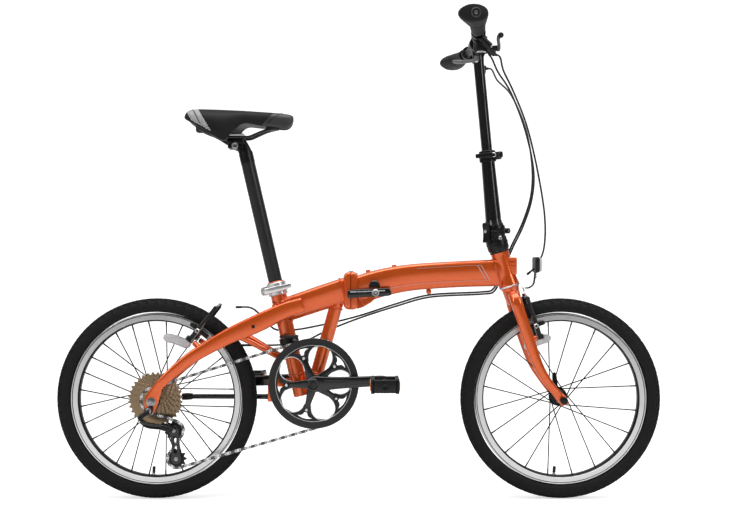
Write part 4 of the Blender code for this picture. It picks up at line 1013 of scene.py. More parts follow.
def weld(path: np.ndarray, radius: float, finish: int, lap: float = 0.0032) -> Shell:
    """Return a bead along a closed path, with overlapping scales.

    The radius swells as 1 + 0.16 |sin| once for each lap of metal.
    """
    length = float(np.linalg.norm(np.diff(path, axis=0, append=path[:1]), axis=1).sum())
    laps = max(8, int(length / lap))
    swell = 1 + 0.16 * np.abs(np.sin(np.linspace(0, np.pi * laps, len(path), endpoint=False)))
    centre = path.mean(axis=0)
    spread = np.linalg.svd(path - centre)[2][2]
    return loft(path, radius * swell, radius * swell, spread, 8, 2.0, finish, ring=True)


def hinge_half(mate: float, outer: float) -> Shell:
    """Return one forged hinge half: flat where the halves meet, rounded off everywhere else.

    The far face draws in along a quarter ellipse at both ends while the meeting face stays put.
    """
    low, high, reach = 0.4628, 0.5544, 0.0125
    turn = np.linspace(0, np.pi / 2, 8)
    height = np.concatenate([low + reach * (1 - np.cos(turn)), high - reach * (1 - np.cos(turn[::-1]))])
    draw = np.concatenate([np.sin(turn), np.sin(turn[::-1])])
    sign = 1.0 if outer > mate else -1.0
    half = abs(outer - mate) / 2 * (0.35 + 0.65 * draw)
    path = np.stack([mate + sign * half, np.full(16, -0.0030), height], axis=1)
    outline = superellipse(44, 3.0)
    flat = outline[:, 1] * sign < 0
    outline[flat, 1] = -sign * np.abs(outline[flat, 1]) ** 0.12
    points = np.stack([path[:, None, 0] + half[:, None] * outline[None, :, 1],
                       path[:, None, 1] + (0.0262 * (0.70 + 0.30 * draw))[:, None] * outline[None, :, 0],
                       np.broadcast_to(path[:, None, 2], (16, 44))], axis=-1)
    return grid(points)


def ring_round(place: np.ndarray, axis: np.ndarray, wide: float, high: float, count: int, power: float = 2.0,
               hint: np.ndarray = Z) -> np.ndarray:
    """Return a closed superellipse of points square to an axis."""
    axis = unit(axis)
    up = unit(hint - axis * (axis @ hint))
    side = np.cross(axis, up)
    flat = superellipse(count, power)
    return place + side * (wide * flat[:, :1]) + up * (high * flat[:, 1:])


@dataclass
class RearFrame:
    """Rear half of the frame: beam stub, seat tube, swept arms, struts, dropouts and shell."""

    tube: float = 0.0197
    shell_half: float = 0.034
    arm_sides: int = 24

    def arm(self, sign: int) -> list:
        """Return one swept arm with its dropout."""
        stops = [((-0.4860, sign * 0.0700, 0.2700), 0.0032, 0.0110), ((-0.4700, sign * 0.0694, 0.2900), 0.0045, 0.0115),
                 ((-0.4300, sign * 0.0628, 0.3270), 0.0070, 0.0135), ((-0.3896, sign * 0.0560, 0.3567), 0.0087, 0.0155),
                 ((-0.3160, sign * 0.0440, 0.3984), 0.0092, 0.0187), ((-0.2497, sign * 0.0370, 0.4280), 0.0098, 0.0217),
                 ((-0.1810, sign * 0.0320, 0.4600), 0.0102, 0.0198), ((-0.1348, sign * 0.0290, 0.4750), 0.0102, 0.0182)]
        arm = sweep(stops, Z, self.arm_sides, 3.4, 7)
        drop = sweep([((-0.4740, sign * 0.0700, 0.2870), 0.0032, 0.0100),
                      ((-0.4860, sign * 0.0700, 0.2660), 0.0032, 0.0145),
                      ((-0.4940, sign * 0.0700, 0.2450), 0.0032, 0.0165),
                      ((-0.4985, sign * 0.0700, 0.2190), 0.0032, 0.0105)],
                     X, 16, 4.5, 7)
        strut = sweep([((-0.2980, sign * 0.0390, 0.4020), 0.0082, 0.0082),
                       ((-0.2700, sign * 0.0310, 0.3900), 0.0082, 0.0082),
                       ((-0.1850, sign * 0.0060, 0.3420), 0.0082, 0.0082)], Z, 16, 2.0, 6)
        boss = bar((-0.3840, sign * 0.0520, 0.3740), (-0.3962, sign * 0.0418, 0.3832), 0.0067, 18)
        return [arm, drop, strut, boss]

    def build(self) -> None:
        """Make the rear half and its small fittings."""
        piece = Piece("rear_half_frame", *of(PAINT, WELD, BLACK))
        path = smooth([(-0.2050, 0, 0.4520, 0.0185, 0.0225), (-0.1800, 0, 0.4610, 0.0215, 0.0290),
                       (-0.1370, 0, 0.4755, 0.0226, 0.0300), (-0.0850, 0, 0.4930, 0.0226, 0.0306),
                       (-0.0290, 0, 0.5110, 0.0226, 0.0310)], 8)
        piece.add(loft(path[:, :3], path[:, 3], path[:, 4], Z, 40, outline=beam_outline()))
        piece.add(hinge_half(-0.0189, -0.0372))
        piece.add(brick((-0.0362, 0.0185, 0.4944), (-0.0199, 0.0330, 0.5226), 0.0020))
        piece.add(bar((HINGE_PIN[0], HINGE_PIN[1], 0.4942), (HINGE_PIN[0], HINGE_PIN[1], 0.5228), 0.0086, 28))
        piece.add(lathe(SEAT_FOOT, SEAT_DIR, [(-0.028, 0.0172), (-0.028, self.tube), (0.2585, self.tube),
                                              (0.2590, 0.0172)], 44, True, 0, 0.0008))
        piece.add(bar((-0.0500, 0, 0.4910), (-0.1075, 0, 0.2880), 0.0162, 32))
        piece.add(hoop((CRANK_AXLE[0], 0, CRANK_AXLE[2]), Y, (-self.shell_half, self.shell_half), (0.0162, 0.0208), 44,
                       0, 0.0008))
        piece.add(brick((-0.2100, 0.0060, 0.2720), (-0.1420, 0.0120, 0.2920), 0.0020))
        piece.add(brick((-0.2240, 0.0060, 0.2350), (-0.2020, 0.0296, 0.2900), 0.0030, axis=1))
        for sign in (-1, 1):
            piece.add(*self.arm(sign))
        piece.add(weld(ring_round(seat_at(0.2000), SEAT_DIR + X * 0.55, 0.0235, 0.0215, 120, 2.4, X), 0.0022, 1))
        piece.add(weld(ring_round(seat_at(0.1640), SEAT_DIR + X * 0.45, 0.0225, 0.0212, 120, 2.2, X), 0.0022, 1))
        piece.add(weld(ring_round(np.array([-0.0380, 0, 0.5080]), X + Z * 0.3, 0.0232, 0.0318, 130, 4.0), 0.0022, 1))
        piece.add(weld(ring_round(np.array([-0.0575, 0, 0.4665]), np.array([0.282, 0, 1.0]), 0.0170, 0.0172, 96, 2.0,
                                  X),
                       0.0020, 1))
        piece.add(weld(ring_round(np.array([-0.1020, 0, 0.3080]), np.array([0.282, 0, 1.0]), 0.0170, 0.0172, 96, 2.0,
                                  X),
                       0.0020, 1))
        piece.add(weld(ring_round(seat_at(0.0260), SEAT_DIR, 0.0203, 0.0203, 96, 2.0, X), 0.0018, 1))
        piece.make("rear_frame", "rear_frame", slot="frame_paint")
        small = Piece("rear_frame_bolts", *of(BLACK, SILVER))
        small.add(bolt((-0.2535, -0.0466, 0.4230), -Y, 0.0042, 0.0035),
                  bolt((-0.4985, -0.0735, 0.2260), -Y, 0.0060, 0.003, 1))
        small.add(bolt((-0.2535, 0.0466, 0.4230), Y, 0.0042, 0.0035))
        small.add(bolt((-0.1760, 0.0125, 0.2820), Y, 0.0040, 0.0030))
        small.make("rear_frame", slot="black_alloy")
        Piece("bottom_bracket_cups", *of(SATIN)).add(
            lathe((CRANK_AXLE[0], 0, CRANK_AXLE[2]), Y, [(-0.0400, 0.0106), (-0.0400, 0.0190), (-0.0342, 0.0205),
                                                        (-0.0340, 0.0158), (0.0340, 0.0158), (0.0342, 0.0205),
                                                        (0.0400, 0.0190), (0.0400, 0.0106)], 40, True, 0, 0.0004)
        ).make("rear_frame", "bottom_bracket", slot="grey_alloy")
        nuts = Piece("rear_axle_nuts", *of(STEEL))
        for sign in (-1, 1):
            nuts.add(lathe(REAR_AXLE, Y * sign, [(0.0736, 0.0052), (0.0736, 0.0108), (0.0752, 0.0110), (0.0755, 0.0084),
                                                 (0.0812, 0.0080), (0.0816, 0.0048), (0.0838, 0.0042)], 6 * 4))
        nuts.add(bar(REAR_AXLE - Y * 0.074, REAR_AXLE + Y * 0.074, 0.0048, 16))
        nuts.make("rear_frame", "rear_axle", slot="steel")
        pin = Piece("hinge_pin", *of(STEEL))
        pin.add(bar((HINGE_PIN[0], HINGE_PIN[1], 0.4622), (HINGE_PIN[0], HINGE_PIN[1], 0.5548), 0.0040, 20))
        pin.add(lathe((HINGE_PIN[0], HINGE_PIN[1], 0.5532), Z, [(0.0, 0.0066), (0.0022, 0.0064), (0.0030, 0.0052),
                                                               (0.0012, 0.0030)], 24))
        pin.make("rear_frame", "frame_hinge_pin", slot="steel")


@dataclass
class FrontFrame:
    """Front half of the frame: hydroformed beam, hinge half, head tube, bosses and luggage socket."""

    plate_x: float = -0.0186
    wall: float = 0.0219

    def beam_path(self) -> np.ndarray:
        """Return the beam's rows of (place, half width, half height)."""
        return smooth([(-0.0050, 0, 0.5080, 0.0226, 0.0352), (0.0376, 0, 0.5225, 0.0226, 0.0344),
                       (0.0900, 0, 0.5350, 0.0224, 0.0332), (0.1505, 0, 0.5430, 0.0221, 0.0324),
                       (0.2500, 0, 0.5490, 0.0214, 0.0322), (0.3300, 0, 0.5520, 0.0205, 0.0330),
                       (0.3560, 0, 0.5525, 0.0200, 0.0332)], 9)

    def crease(self, low: float, high: float, height: float) -> Shell:
        """Return a thin raised line along the beam's right side between two distances forward."""
        rows = self.beam_path()
        span = rows[(rows[:, 0] >= low) & (rows[:, 0] <= high)]
        place = span[:, :3] + np.stack([0 * span[:, 3], -span[:, 3] * 0.992, span[:, 4] * height], axis=1)
        return loft(place, 0.0007, 0.0004, Z, 8)

    def on_side(self, along: float, height: float) -> np.ndarray:
        """Return a point on the beam's right side at a distance forward and a share of the half height."""
        rows = self.beam_path()
        row = rows[np.argmin(np.abs(rows[:, 0] - along))]
        return np.array([along, -row[3] * 0.992, row[2] + row[4] * height])

    def build(self) -> None:
        """Make the front half and its fittings."""
        piece = Piece("front_half_frame", *of(PAINT, WELD, REFLEX))
        rows = self.beam_path()
        piece.add(loft(rows[:, :3], rows[:, 3], rows[:, 4], Z, 40, outline=beam_outline()))
        piece.add(lathe(STEER_FOOT, STEER_DIR, [(0.0, 0.0154), (0.0, 0.0252), (0.0060, 0.0252), (0.0160, 0.0236),
                                                (0.0300, self.wall), (0.0800, self.wall), (0.0900, 0.0232),
                                                (0.0920, 0.0232), (0.0920, 0.0154)], 56, True, 0, 0.0008))
        piece.add(hinge_half(self.plate_x, -0.0006))
        for low, high in ((0.4640, 0.4936), (0.5234, 0.5530)):
            piece.add(bar((HINGE_PIN[0], HINGE_PIN[1], low), (HINGE_PIN[0], HINGE_PIN[1], high), 0.0086, 28))
            piece.add(brick((-0.0181, 0.0185, low + 0.001), (-0.0030, 0.0330, high - 0.001), 0.0020))
        wedge = np.array([(-0.0040, 0.4640), (0.0120, 0.4690), (0.0300, 0.4800), (0.0410, 0.4895), (0.0360, 0.5000),
                          (-0.0040, 0.5000)])
        piece.add(plate(wedge, -0.0165, 0.0165, 1, 0.0020))
        piece.add(lathe((0.0250, 0, 0.5400), np.array([-0.12, 0, 1.0]),
                        [(0, 0.0056), (0.0180, 0.0056), (0.0200, 0.0046),
                                                                        (0.0188, 0.0030)], 24))
        piece.add(lathe((0.0880, 0, 0.5500), np.array([-0.07, 0, 1.0]),
                        [(0, 0.0056), (0.0200, 0.0056), (0.0220, 0.0046),
                                                                        (0.0208, 0.0030)], 24))
        piece.add(weld(ring_round(np.array([0.3385, 0, 0.5525]), X + Z * 0.29, 0.0214, 0.0345, 150, 3.6), 0.0024, 1))
        piece.add(weld(ring_round(np.array([0.0006, 0, 0.5090]), X + Z * 0.3, 0.0232, 0.0358, 150, 4.0), 0.0022, 1))
        piece.make("front_frame", "front_frame", slot="frame_paint")
        lines = Piece("beam_panel_lines", *of(REFLEX))
        lines.add(self.crease(0.140, 0.300, 0.62), self.crease(0.060, 0.320, -0.52))
        for shift in (-0.0085, 0.0):
            lines.add(bar(self.on_side(0.298 + shift, 0.62), self.on_side(0.319 + shift, -0.52), 0.0007, 8, 0, 0.0001))
        lines.make("front_frame", slot="silver_alloy")
        socket = Piece("luggage_socket", *of(PAINT, BLACK))
        socket.add(brick((0.3540, -0.0172, 0.5478), (0.3860, 0.0172, 0.5902), 0.0030, axis=0))
        for number in range(4):
            z = 0.5535 + 0.0095 * number
            socket.add(brick((0.3640, -0.0184, z), (0.3860, 0.0184, z + 0.0045), 0.0012, 0, axis=0))
        socket.add(bolt((0.3858, 0.0, 0.5600), X, 0.0040, 0.0012, 1), bolt((0.3858, 0.0, 0.5790), X, 0.0040, 0.0012, 1))
        socket.make("front_frame", slot="frame_paint")
        ring = Piece("headset_rings", *of(SILVER, BLACK))
        ring.add(lathe(STEER_FOOT, STEER_DIR, [(0.0002, 0.0200), (0.0002, 0.0256), (0.0042, 0.0258), (0.0042, 0.0200)],
                       56,
                       True, 0, 0.0004))
        ring.add(hoop(STEER_FOOT, STEER_DIR, (0.0880, 0.0919), (0.0200, 0.0240), 56, 1, 0.0004))
        ring.make("front_frame", slot="silver_alloy")
        clip = Piece("cable_clip", *of(PAINT, SILVER))
        clip.add(brick((0.1660, -0.0060, 0.5010), (0.1780, 0.0160, 0.5125), 0.0030, axis=1))
        clip.add(bolt((0.1720, 0.0050, 0.5012), -Z, 0.0034, 0.0020, 1))
        clip.add(bolt((0.0252, 0, 0.5585), np.array([-0.12, 0, 1.0]), 0.0036, 0.0020, 1))
        clip.add(bolt((0.0872, 0, 0.5700), np.array([-0.07, 0, 1.0]), 0.0036, 0.0020, 1))
        clip.make("front_frame", slot="frame_paint")
        self.latch()

    def latch(self) -> None:
        """Make the long hinge lever, its ring bolt and the domed safety catch."""
        lever = Piece("hinge_lever", *of(GLOSS, SILVER, BLACK))
        lever.add(sweep([((-0.0268, -0.0345, 0.5010), 0.0042, 0.0090), ((-0.0100, -0.0350, 0.5020), 0.0052, 0.0102),
                         ((0.0100, -0.0352, 0.5035), 0.0054, 0.0100), ((0.0500, -0.0346, 0.5050), 0.0052, 0.0100),
                         ((0.0720, -0.0335, 0.5065), 0.0048, 0.0096), ((0.0785, -0.0330, 0.5075), 0.0036, 0.0070)],
                        Z, 24, 3.4, 7, 0))
        lever.add(sweep([((-0.0200, -0.0404, 0.5062), 0.0006, 0.0008), ((0.0300, -0.0410, 0.5082), 0.0006, 0.0009),
                         ((0.0640, -0.0396, 0.5096), 0.0006, 0.0008)], Z, 8, 2.0, 6, 1))
        ring = np.array([0.0410, -0.0398, 0.5045])
        lever.add(lathe(ring, -Y, [(-0.002, 0.0088), (0.0022, 0.0088), (0.0030, 0.0080), (0.0026, 0.0052)], 32, False,
                        1))
        lever.add(lathe(ring, -Y, [(-0.002, 0.0050), (0.0034, 0.0050), (0.0038, 0.0040), (0.0022, 0.0030)], 24, False,
                        2))
        lever.make("frame_latch", "frame_latch_lever", slot="black_alloy")
        turn = np.linspace(np.pi, 0, 24)
        dome = np.stack([0.0385 + 0.0135 * np.cos(turn), 0.5195 + 0.0145 * np.sin(turn)], axis=1)
        dome = np.vstack([[(0.0250, 0.5172)], dome, [(0.0520, 0.5172)]])
        Piece("hinge_catch", *of(GLOSS)).add(plate(dome, -0.0372, -0.0290, 1, 0.0016)).make(
            "safety_catch", "safety_catch", slot="black_plastic")


# ---------------------------------------------------------------------------
# Fork and handlepost
# ---------------------------------------------------------------------------


@dataclass
class Fork:
    """Fork with swept legs, the front axle and its quick-release lever."""

    leg_sides: int = 24

    def leg(self, sign: int) -> Shell:
        """Return one leg, from the crown over the wheel to the dropout."""
        stops = [(steer_at(-0.019), 0.0142, 0.0135), (steer_at(-0.022, sign * 0.026), 0.0144, 0.0138),
                 (steer_at(-0.034, sign * 0.0435), 0.0122, 0.0142), (steer_at(-0.060, sign * 0.0472), 0.0104, 0.0142),
                 ((0.4092, sign * 0.0470, 0.3957), 0.0096, 0.0136), ((0.4330, sign * 0.0460, 0.3300), 0.0086, 0.0117),
                 ((0.4580, sign * 0.0440, 0.2880), 0.0066, 0.0099), ((0.4800, sign * 0.0412, 0.2600), 0.0037, 0.0105),
                 ((0.4930, sign * 0.0410, 0.2450), 0.0034, 0.0118), ((0.4992, sign * 0.0410, 0.2335), 0.0034, 0.0092)]
        return sweep(stops, np.array([0.96, 0, 0.28]), self.leg_sides, 2.4, 8)

    def build(self) -> None:
        """Make the fork, axle, lever and brake bosses."""
        piece = Piece("fork_legs", *of(PAINT, WELD, BLACK))
        piece.add(lathe(STEER_FOOT, STEER_DIR, [(-0.0420, 0.0140), (-0.0360, 0.0188), (-0.0200, 0.0200),
                                                (-0.0080, 0.0206),
                                                (-0.0004, 0.0232), (0.0, 0.0148), (0.0918, 0.0148)], 44))
        for sign in (-1, 1):
            piece.add(self.leg(sign))
            boss = np.array([0.4180, sign * 0.0430, 0.3925])
            piece.add(bar(boss, boss + np.array([0.0120, 0, 0.0035]), 0.0070, 20))
        piece.add(weld(ring_round(steer_at(-0.0200, 0.0185), Y - STEER_DIR * 0.2, 0.0148, 0.0140, 96, 2.2), 0.0018, 1))
        piece.add(weld(ring_round(steer_at(-0.0200, -0.0185), Y + STEER_DIR * 0.2, 0.0148, 0.0140, 96, 2.2), 0.0018, 1))
        piece.make("fork", "fork", slot="frame_paint")
        axle = Piece("front_axle_nuts", *of(STEEL, BLACK))
        axle.add(bar(FRONT_AXLE - Y * 0.0460, FRONT_AXLE + Y * 0.0460, 0.0044, 16))
        axle.add(lathe(FRONT_AXLE, Y, [(-0.0558, 0.0060), (-0.0552, 0.0086), (-0.0500, 0.0096), (-0.0464, 0.0092)], 30,
                       False,
                       1))
        axle.add(lathe(FRONT_AXLE, Y, [(0.0464, 0.0092), (0.0520, 0.0096), (0.0600, 0.0084), (0.0604, 0.0040)], 30,
                       False, 1))
        axle.make("fork", "front_axle", slot="steel")
        lever = Piece("front_release_lever", *of(BLACK, SILVER))
        lever.add(sweep([((0.4940, 0.0665, 0.2362), 0.0078, 0.0040), ((0.4945, 0.0675, 0.2600), 0.0070, 0.0034),
                         ((0.4930, 0.0690, 0.2900), 0.0058, 0.0028), ((0.4914, 0.0700, 0.3000), 0.0040, 0.0024)],
                        Y, 18, 3.0, 6))
        lever.make("front_qr", "front_qr_lever", slot="black_alloy")


@dataclass
class Handlepost:
    """Folding base casting, tapered lower post, height clamp and sliding inner post."""

    base_radius: float = 0.0262

    def pin_point(self, along: float) -> np.ndarray:
        """Return a point on the fold hinge's pin."""
        return POST_FOOT + FOLD_OUT * 0.0335 + FOLD_ALONG * along

    def knuckle(self, low: float, high: float, sign: int) -> list:
        """Return one hinge knuckle with the web that carries it."""
        middle = self.pin_point((low + high) / 2) + Z * sign * 0.0036
        web = loft(np.array([middle - FOLD_OUT * 0.0160, middle - FOLD_OUT * 0.008, middle]),
                   (high - low) / 2 - 0.0004, 0.0030, Z, 12,
                   5.0)
        return [bar(self.pin_point(low), self.pin_point(high), 0.0068, 24), web]

    def build(self) -> None:
        """Make the post's four working parts and their bolts."""
        base = Piece("post_base_casting", *of(BLACK, SILVER, GLOSS))
        r = self.base_radius
        base.add(lathe(STEER_FOOT, STEER_DIR, [(0.0924, 0.0180), (0.0924, 0.0234), (0.0960, 0.0254), (0.1000, r),
                                               (0.1230, r), (0.1280, 0.0230)], 52, False, 0))
        base.add(lathe(POST_FOOT, Z, [(-0.0240, 0.0225), (-0.0190, 0.0252), (-0.0120, r), (-0.0024, r),
                                      (-0.0004, r - 0.0016)],
                       52))
        base.add(*self.knuckle(-0.0085, 0.0085, -1))
        base.add(lathe(steer_at(0.1120), STEER_DIR, [(-0.0016, r), (-0.0014, r + 0.0012), (0.0014, r + 0.0012),
                                                     (0.0016, r)],
                       52))
        for turn, z in ((-70, -0.016), (-115, -0.017)):
            a = math.radians(turn)
            out = np.array([math.cos(a), math.sin(a), 0])
            patch = POST_FOOT + out * (r - 0.0012) + Z * z
            base.add(lathe(patch, out, [(0, 0.0090), (0.0016, 0.0082), (0.0022, 0.0060), (0.0016, 0.0040)], 24))
        head = POST_FOOT + np.array([0.010, -0.0235, -0.0180])
        base.add(bolt(head, np.array([0.39, -0.92, 0]), 0.0050, 0.0042, 1))
        base.make("fork", "handlepost_base", slot="black_alloy")
        Piece("post_hinge_pin", *of(STEEL)).add(bar(self.pin_point(-0.0200), self.pin_point(0.0200), 0.0030, 16)).make(
            "fork", "handlepost_pin", slot="steel")
        latch_at = POST_FOOT - FOLD_OUT * 0.0310
        latch = Piece("post_latch_lever", *of(BLACK, SILVER))
        latch.add(sweep([(latch_at - Z * 0.0300, 0.0108, 0.0040), (latch_at - Z * 0.0050, 0.0094, 0.0040),
                         (latch_at + Z * 0.0120 - FOLD_OUT * 0.002, 0.0100, 0.0054),
                         (latch_at + Z * 0.0180 - FOLD_OUT * 0.004, 0.0078, 0.0038)], FOLD_OUT, 20, 3.0, 7))
        latch.add(bolt(latch_at - FOLD_OUT * 0.0040 - Z * 0.0030, -FOLD_OUT, 0.0038, 0.0022, 1))
        latch.make("handlepost_latch", "handlepost_latch", slot="black_alloy")

        post = Piece("lower_post", *of(GLOSS, BLACK))
        post.add(lathe(POST_FOOT, Z, [(0.0004, 0.0246), (0.0020, 0.0260), (0.0100, 0.0260), (0.0135, 0.0240)], 52,
                       False, 1))
        post.add(lathe(POST_FOOT, POST_DIR, [(0.0060, 0.0228), (0.0140, 0.0236), (0.0200, 0.0205), (0.0270, 0.0193),
                                             (0.1690, 0.0164), (0.1770, 0.0163), (0.1770, 0.0133), (0.1500, 0.0133)],
                       52,
                       False, 0, 0.0006))
        post.add(*self.knuckle(-0.0190, -0.0089, 1), *self.knuckle(0.0089, 0.0190, 1))
        post.make("handlepost", "handlepost", slot="black_alloy")
        clamp = Piece("height_collar", *of(BLACK, SILVER))
        clamp.add(lathe(POST_FOOT, POST_DIR, [(0.1690, 0.0169), (0.1690, 0.0206), (0.1960, 0.0202), (0.1960, 0.0138),
                                              (0.1776, 0.0138), (0.1776, 0.0169)], 48, True, 0, 0.0012))
        clamp.add(hoop(POST_FOOT, POST_DIR, (0.1800, 0.1815), (0.0200, 0.0209), 48, 0, 0.0003))
        for side in (-0.0055, 0.0055):
            clamp.add(sweep([(post_at(0.1735, side, 0.0235), 0.0040, 0.0100),
                             (post_at(0.1915, side, 0.0235), 0.0040, 0.0100)],
                            X, 18, 4.0, 4))
        clamp.add(bar(post_at(0.1830, -0.0135, 0.0275), post_at(0.1830, 0.0125, 0.0275), 0.0052, 24, 1))
        clamp.make("handlepost", "height_clamp", slot="black_alloy")
        lever = Piece("height_release_lever", *of(BLACK, SILVER))
        lever.add(sweep([(post_at(0.1830, -0.0150, 0.0330), 0.0042, 0.0078),
                         (post_at(0.1830, -0.0240, 0.0230), 0.0036, 0.0072),
                         (post_at(0.1832, -0.0272, 0.0000), 0.0030, 0.0066), (post_at(0.1836, -0.0252, -0.0320), 0.0028,
                                                                             0.0052)], POST_DIR, 18, 3.2, 7))
        lever.add(lathe(post_at(0.1830, -0.0262, 0.0120), -Y,
                        [(-0.001, 0.0058), (0.0030, 0.0058), (0.0036, 0.0050), (0.0030, 0.0030)], 28, False, 1))
        lever.make("height_lever", "height_lever", slot="black_alloy")
        inner = Piece("inner_post", *of(GLOSS, BLACK, SILVER))
        top = BAR_CENTRE - POST_DIR * 0.0140
        length = float(np.linalg.norm(top - post_at(0.1360)))
        inner.add(lathe(post_at(0.1360), POST_DIR, [(0, 0.0118), (0.0006, 0.0130), (length - 0.030, 0.0130),
                                                    (length - 0.012, 0.0142), (length, 0.0150)], 48))
        inner.add(hoop(BAR_CENTRE, Y, (-0.0200, 0.0200), (0.0134, 0.0200), 48, 1, 0.0016))
        for y in (-0.0115, 0.0115):
            inner.add(bar(BAR_CENTRE + np.array([0.0120, y, 0.0120]), BAR_CENTRE + np.array([0.0215, y, 0.0170]),
                          0.0048, 18, 1))
            inner.add(bolt(BAR_CENTRE + np.array([0.0215, y, 0.0170]), np.array([0.88, 0, 0.47]), 0.0038, 0.0022, 2))
        inner.make("bar", "handlepost_inner", slot="black_alloy")


# ---------------------------------------------------------------------------
# Cockpit
# ---------------------------------------------------------------------------


@dataclass
class Cockpit:
    """Handlebar, winged grips, brake brackets and levers, and the thumb shifter."""

    bar_radius: float = 0.0111

    def grip(self, side: Side) -> None:
        """Make one grip: a round sleeve that spreads into a flat palm rest.

        Half width and height follow a smooth curve along the bar; ribs add a small sine.
        """
        sign = side.value
        rows = smooth([(0.1480, 0.0150, 0.0150), (0.1540, 0.0166, 0.0166), (0.1820, 0.0174, 0.0168),
                       (0.2060, 0.0196, 0.0172),
                       (0.2260, 0.0238, 0.0180), (0.2460, 0.0288, 0.0190), (0.2660, 0.0326, 0.0202),
                       (0.2780, 0.0334, 0.0204),
                       (0.2838, 0.0316, 0.0190), (0.2850, 0.0284, 0.0168)], 10)
        along = rows[:, 0]
        ribs = 0.0006 * np.maximum(0, np.sin((along - 0.150) / 0.0062 * 2 * np.pi)) * (along > 0.158) * (along < 0.236)
        wide, high = rows[:, 1] + ribs, rows[:, 2] + ribs
        outline = superellipse(40, 2.15)
        centre = np.array([bar_at(sign * a) for a in along])
        centre[:, 0] -= 0.5 * (rows[:, 1] - 0.0165)
        tail = 1 - 0.22 * np.clip(-outline[:, 0], 0, 1) ** 2
        points = np.stack([centre[:, None, 0] + wide[:, None] * outline[None, :, 0],
                           np.broadcast_to(centre[:, None, 1], (len(along), 40)),
                           centre[:, None, 2] + high[:, None] * outline[None, :, 1] * tail], axis=-1)
        piece = Piece(f"palm_grip_{side.word}", *of(GRIP, NOSE, BLACK, STEEL))
        piece.add(grid(points))
        collar_at = bar_at(sign * 0.1500)
        piece.add(hoop(collar_at, Y, (-0.0030, 0.0030), (0.0116, 0.0164), 40, 2, 0.0006))
        end = bar_at(sign * 0.2848) + np.array([-0.002, 0, 0])
        piece.add(lathe(end, Y * sign, [(-0.003, 0.0112), (0.0012, 0.0112), (0.0020, 0.0102), (0.0014, 0.0086),
                                        (-0.0004, 0.0078)], 36, False, 1))
        piece.add(lathe(end, Y * sign, [(-0.003, 0.0074), (0.0010, 0.0072), (0.0016, 0.0060)], 36, False, 2))
        piece.add(bolt(end + Y * sign * 0.0010, Y * sign, 0.0042, 0.0020, 3))
        piece.make("bar", f"grip_{side.word}", slot="rubber")

    def brake(self, side: Side) -> None:
        """Make one bracket with its adjuster and one lever with a rounded tip."""
        sign = side.value
        bracket = Piece(f"brake_clamp_{side.word}", *of(BLACK, SILVER))
        bracket.add(hoop(bar_at(sign * 0.118), Y, (-0.007, 0.007), (0.0130, 0.0168), 40, 0, 0.0012))
        bracket.add(sweep([(bar_at(sign * 0.119, 0.0110, 0.0060), 0.0066, 0.0074),
                           (bar_at(sign * 0.114, 0.0240, 0.0200), 0.0082,
                                                                                    0.0084),
                           (bar_at(sign * 0.109, 0.0340, 0.0300), 0.0084, 0.0086),
                           (bar_at(sign * 0.104, 0.0425, 0.0362), 0.0060,
                                                                                    0.0068)], Y, 20, 3.2, 7))
        out = unit(bar_at(sign * 0.086, 0.0440, 0.0360) - bar_at(sign * 0.108, 0.0360, 0.0320))
        start = bar_at(sign * 0.106, 0.0367, 0.0324)
        bracket.add(lathe(start, out, [(0, 0.0056), (0.0060, 0.0056), (0.0062, 0.0068), (0.0085, 0.0068),
                                       (0.0087, 0.0058),
                                       (0.0110, 0.0068), (0.0145, 0.0068), (0.0150, 0.0050), (0.0215, 0.0044),
                                       (0.0220, 0.0030)],
                          26, False, 0))
        bracket.add(bolt(bar_at(sign * 0.118, -0.0120, 0.0120), np.array([0.7, 0, 0.7]), 0.0038, 0.0040, 1))
        bracket.make("bar", f"brake_bracket_{side.word}", slot="black_alloy")
        lever = Piece(f"brake_blade_{side.word}", *of(BLACK, SILVER))
        blade = [(0.1235, 0.0370, 0.0350, 0.0060, 0.0045), (0.1340, 0.0400, 0.0430, 0.0066, 0.0042),
                 (0.1450, 0.0428, 0.0480, 0.0068, 0.0036), (0.1750, 0.0422, 0.0482, 0.0066, 0.0036),
                 (0.2150, 0.0400, 0.0462, 0.0064, 0.0036), (0.2420, 0.0398, 0.0490, 0.0062, 0.0038),
                 (0.2500, 0.0400, 0.0530, 0.0062, 0.0044), (0.2530, 0.0402, 0.0550, 0.0046, 0.0040)]
        lever.add(sweep([(bar_at(sign * a, d, f), w, h) for a, d, f, w, h in blade], X, 22, 2.6, 7))
        lever.add(bolt(bar_at(sign * 0.1235, 0.0335, 0.0332), np.array([-0.658, 0, 0.753]), 0.0040, 0.0030, 1))
        lever.make(f"brake_lever_{side.word}", f"brake_lever_{side.word}", slot="black_alloy")

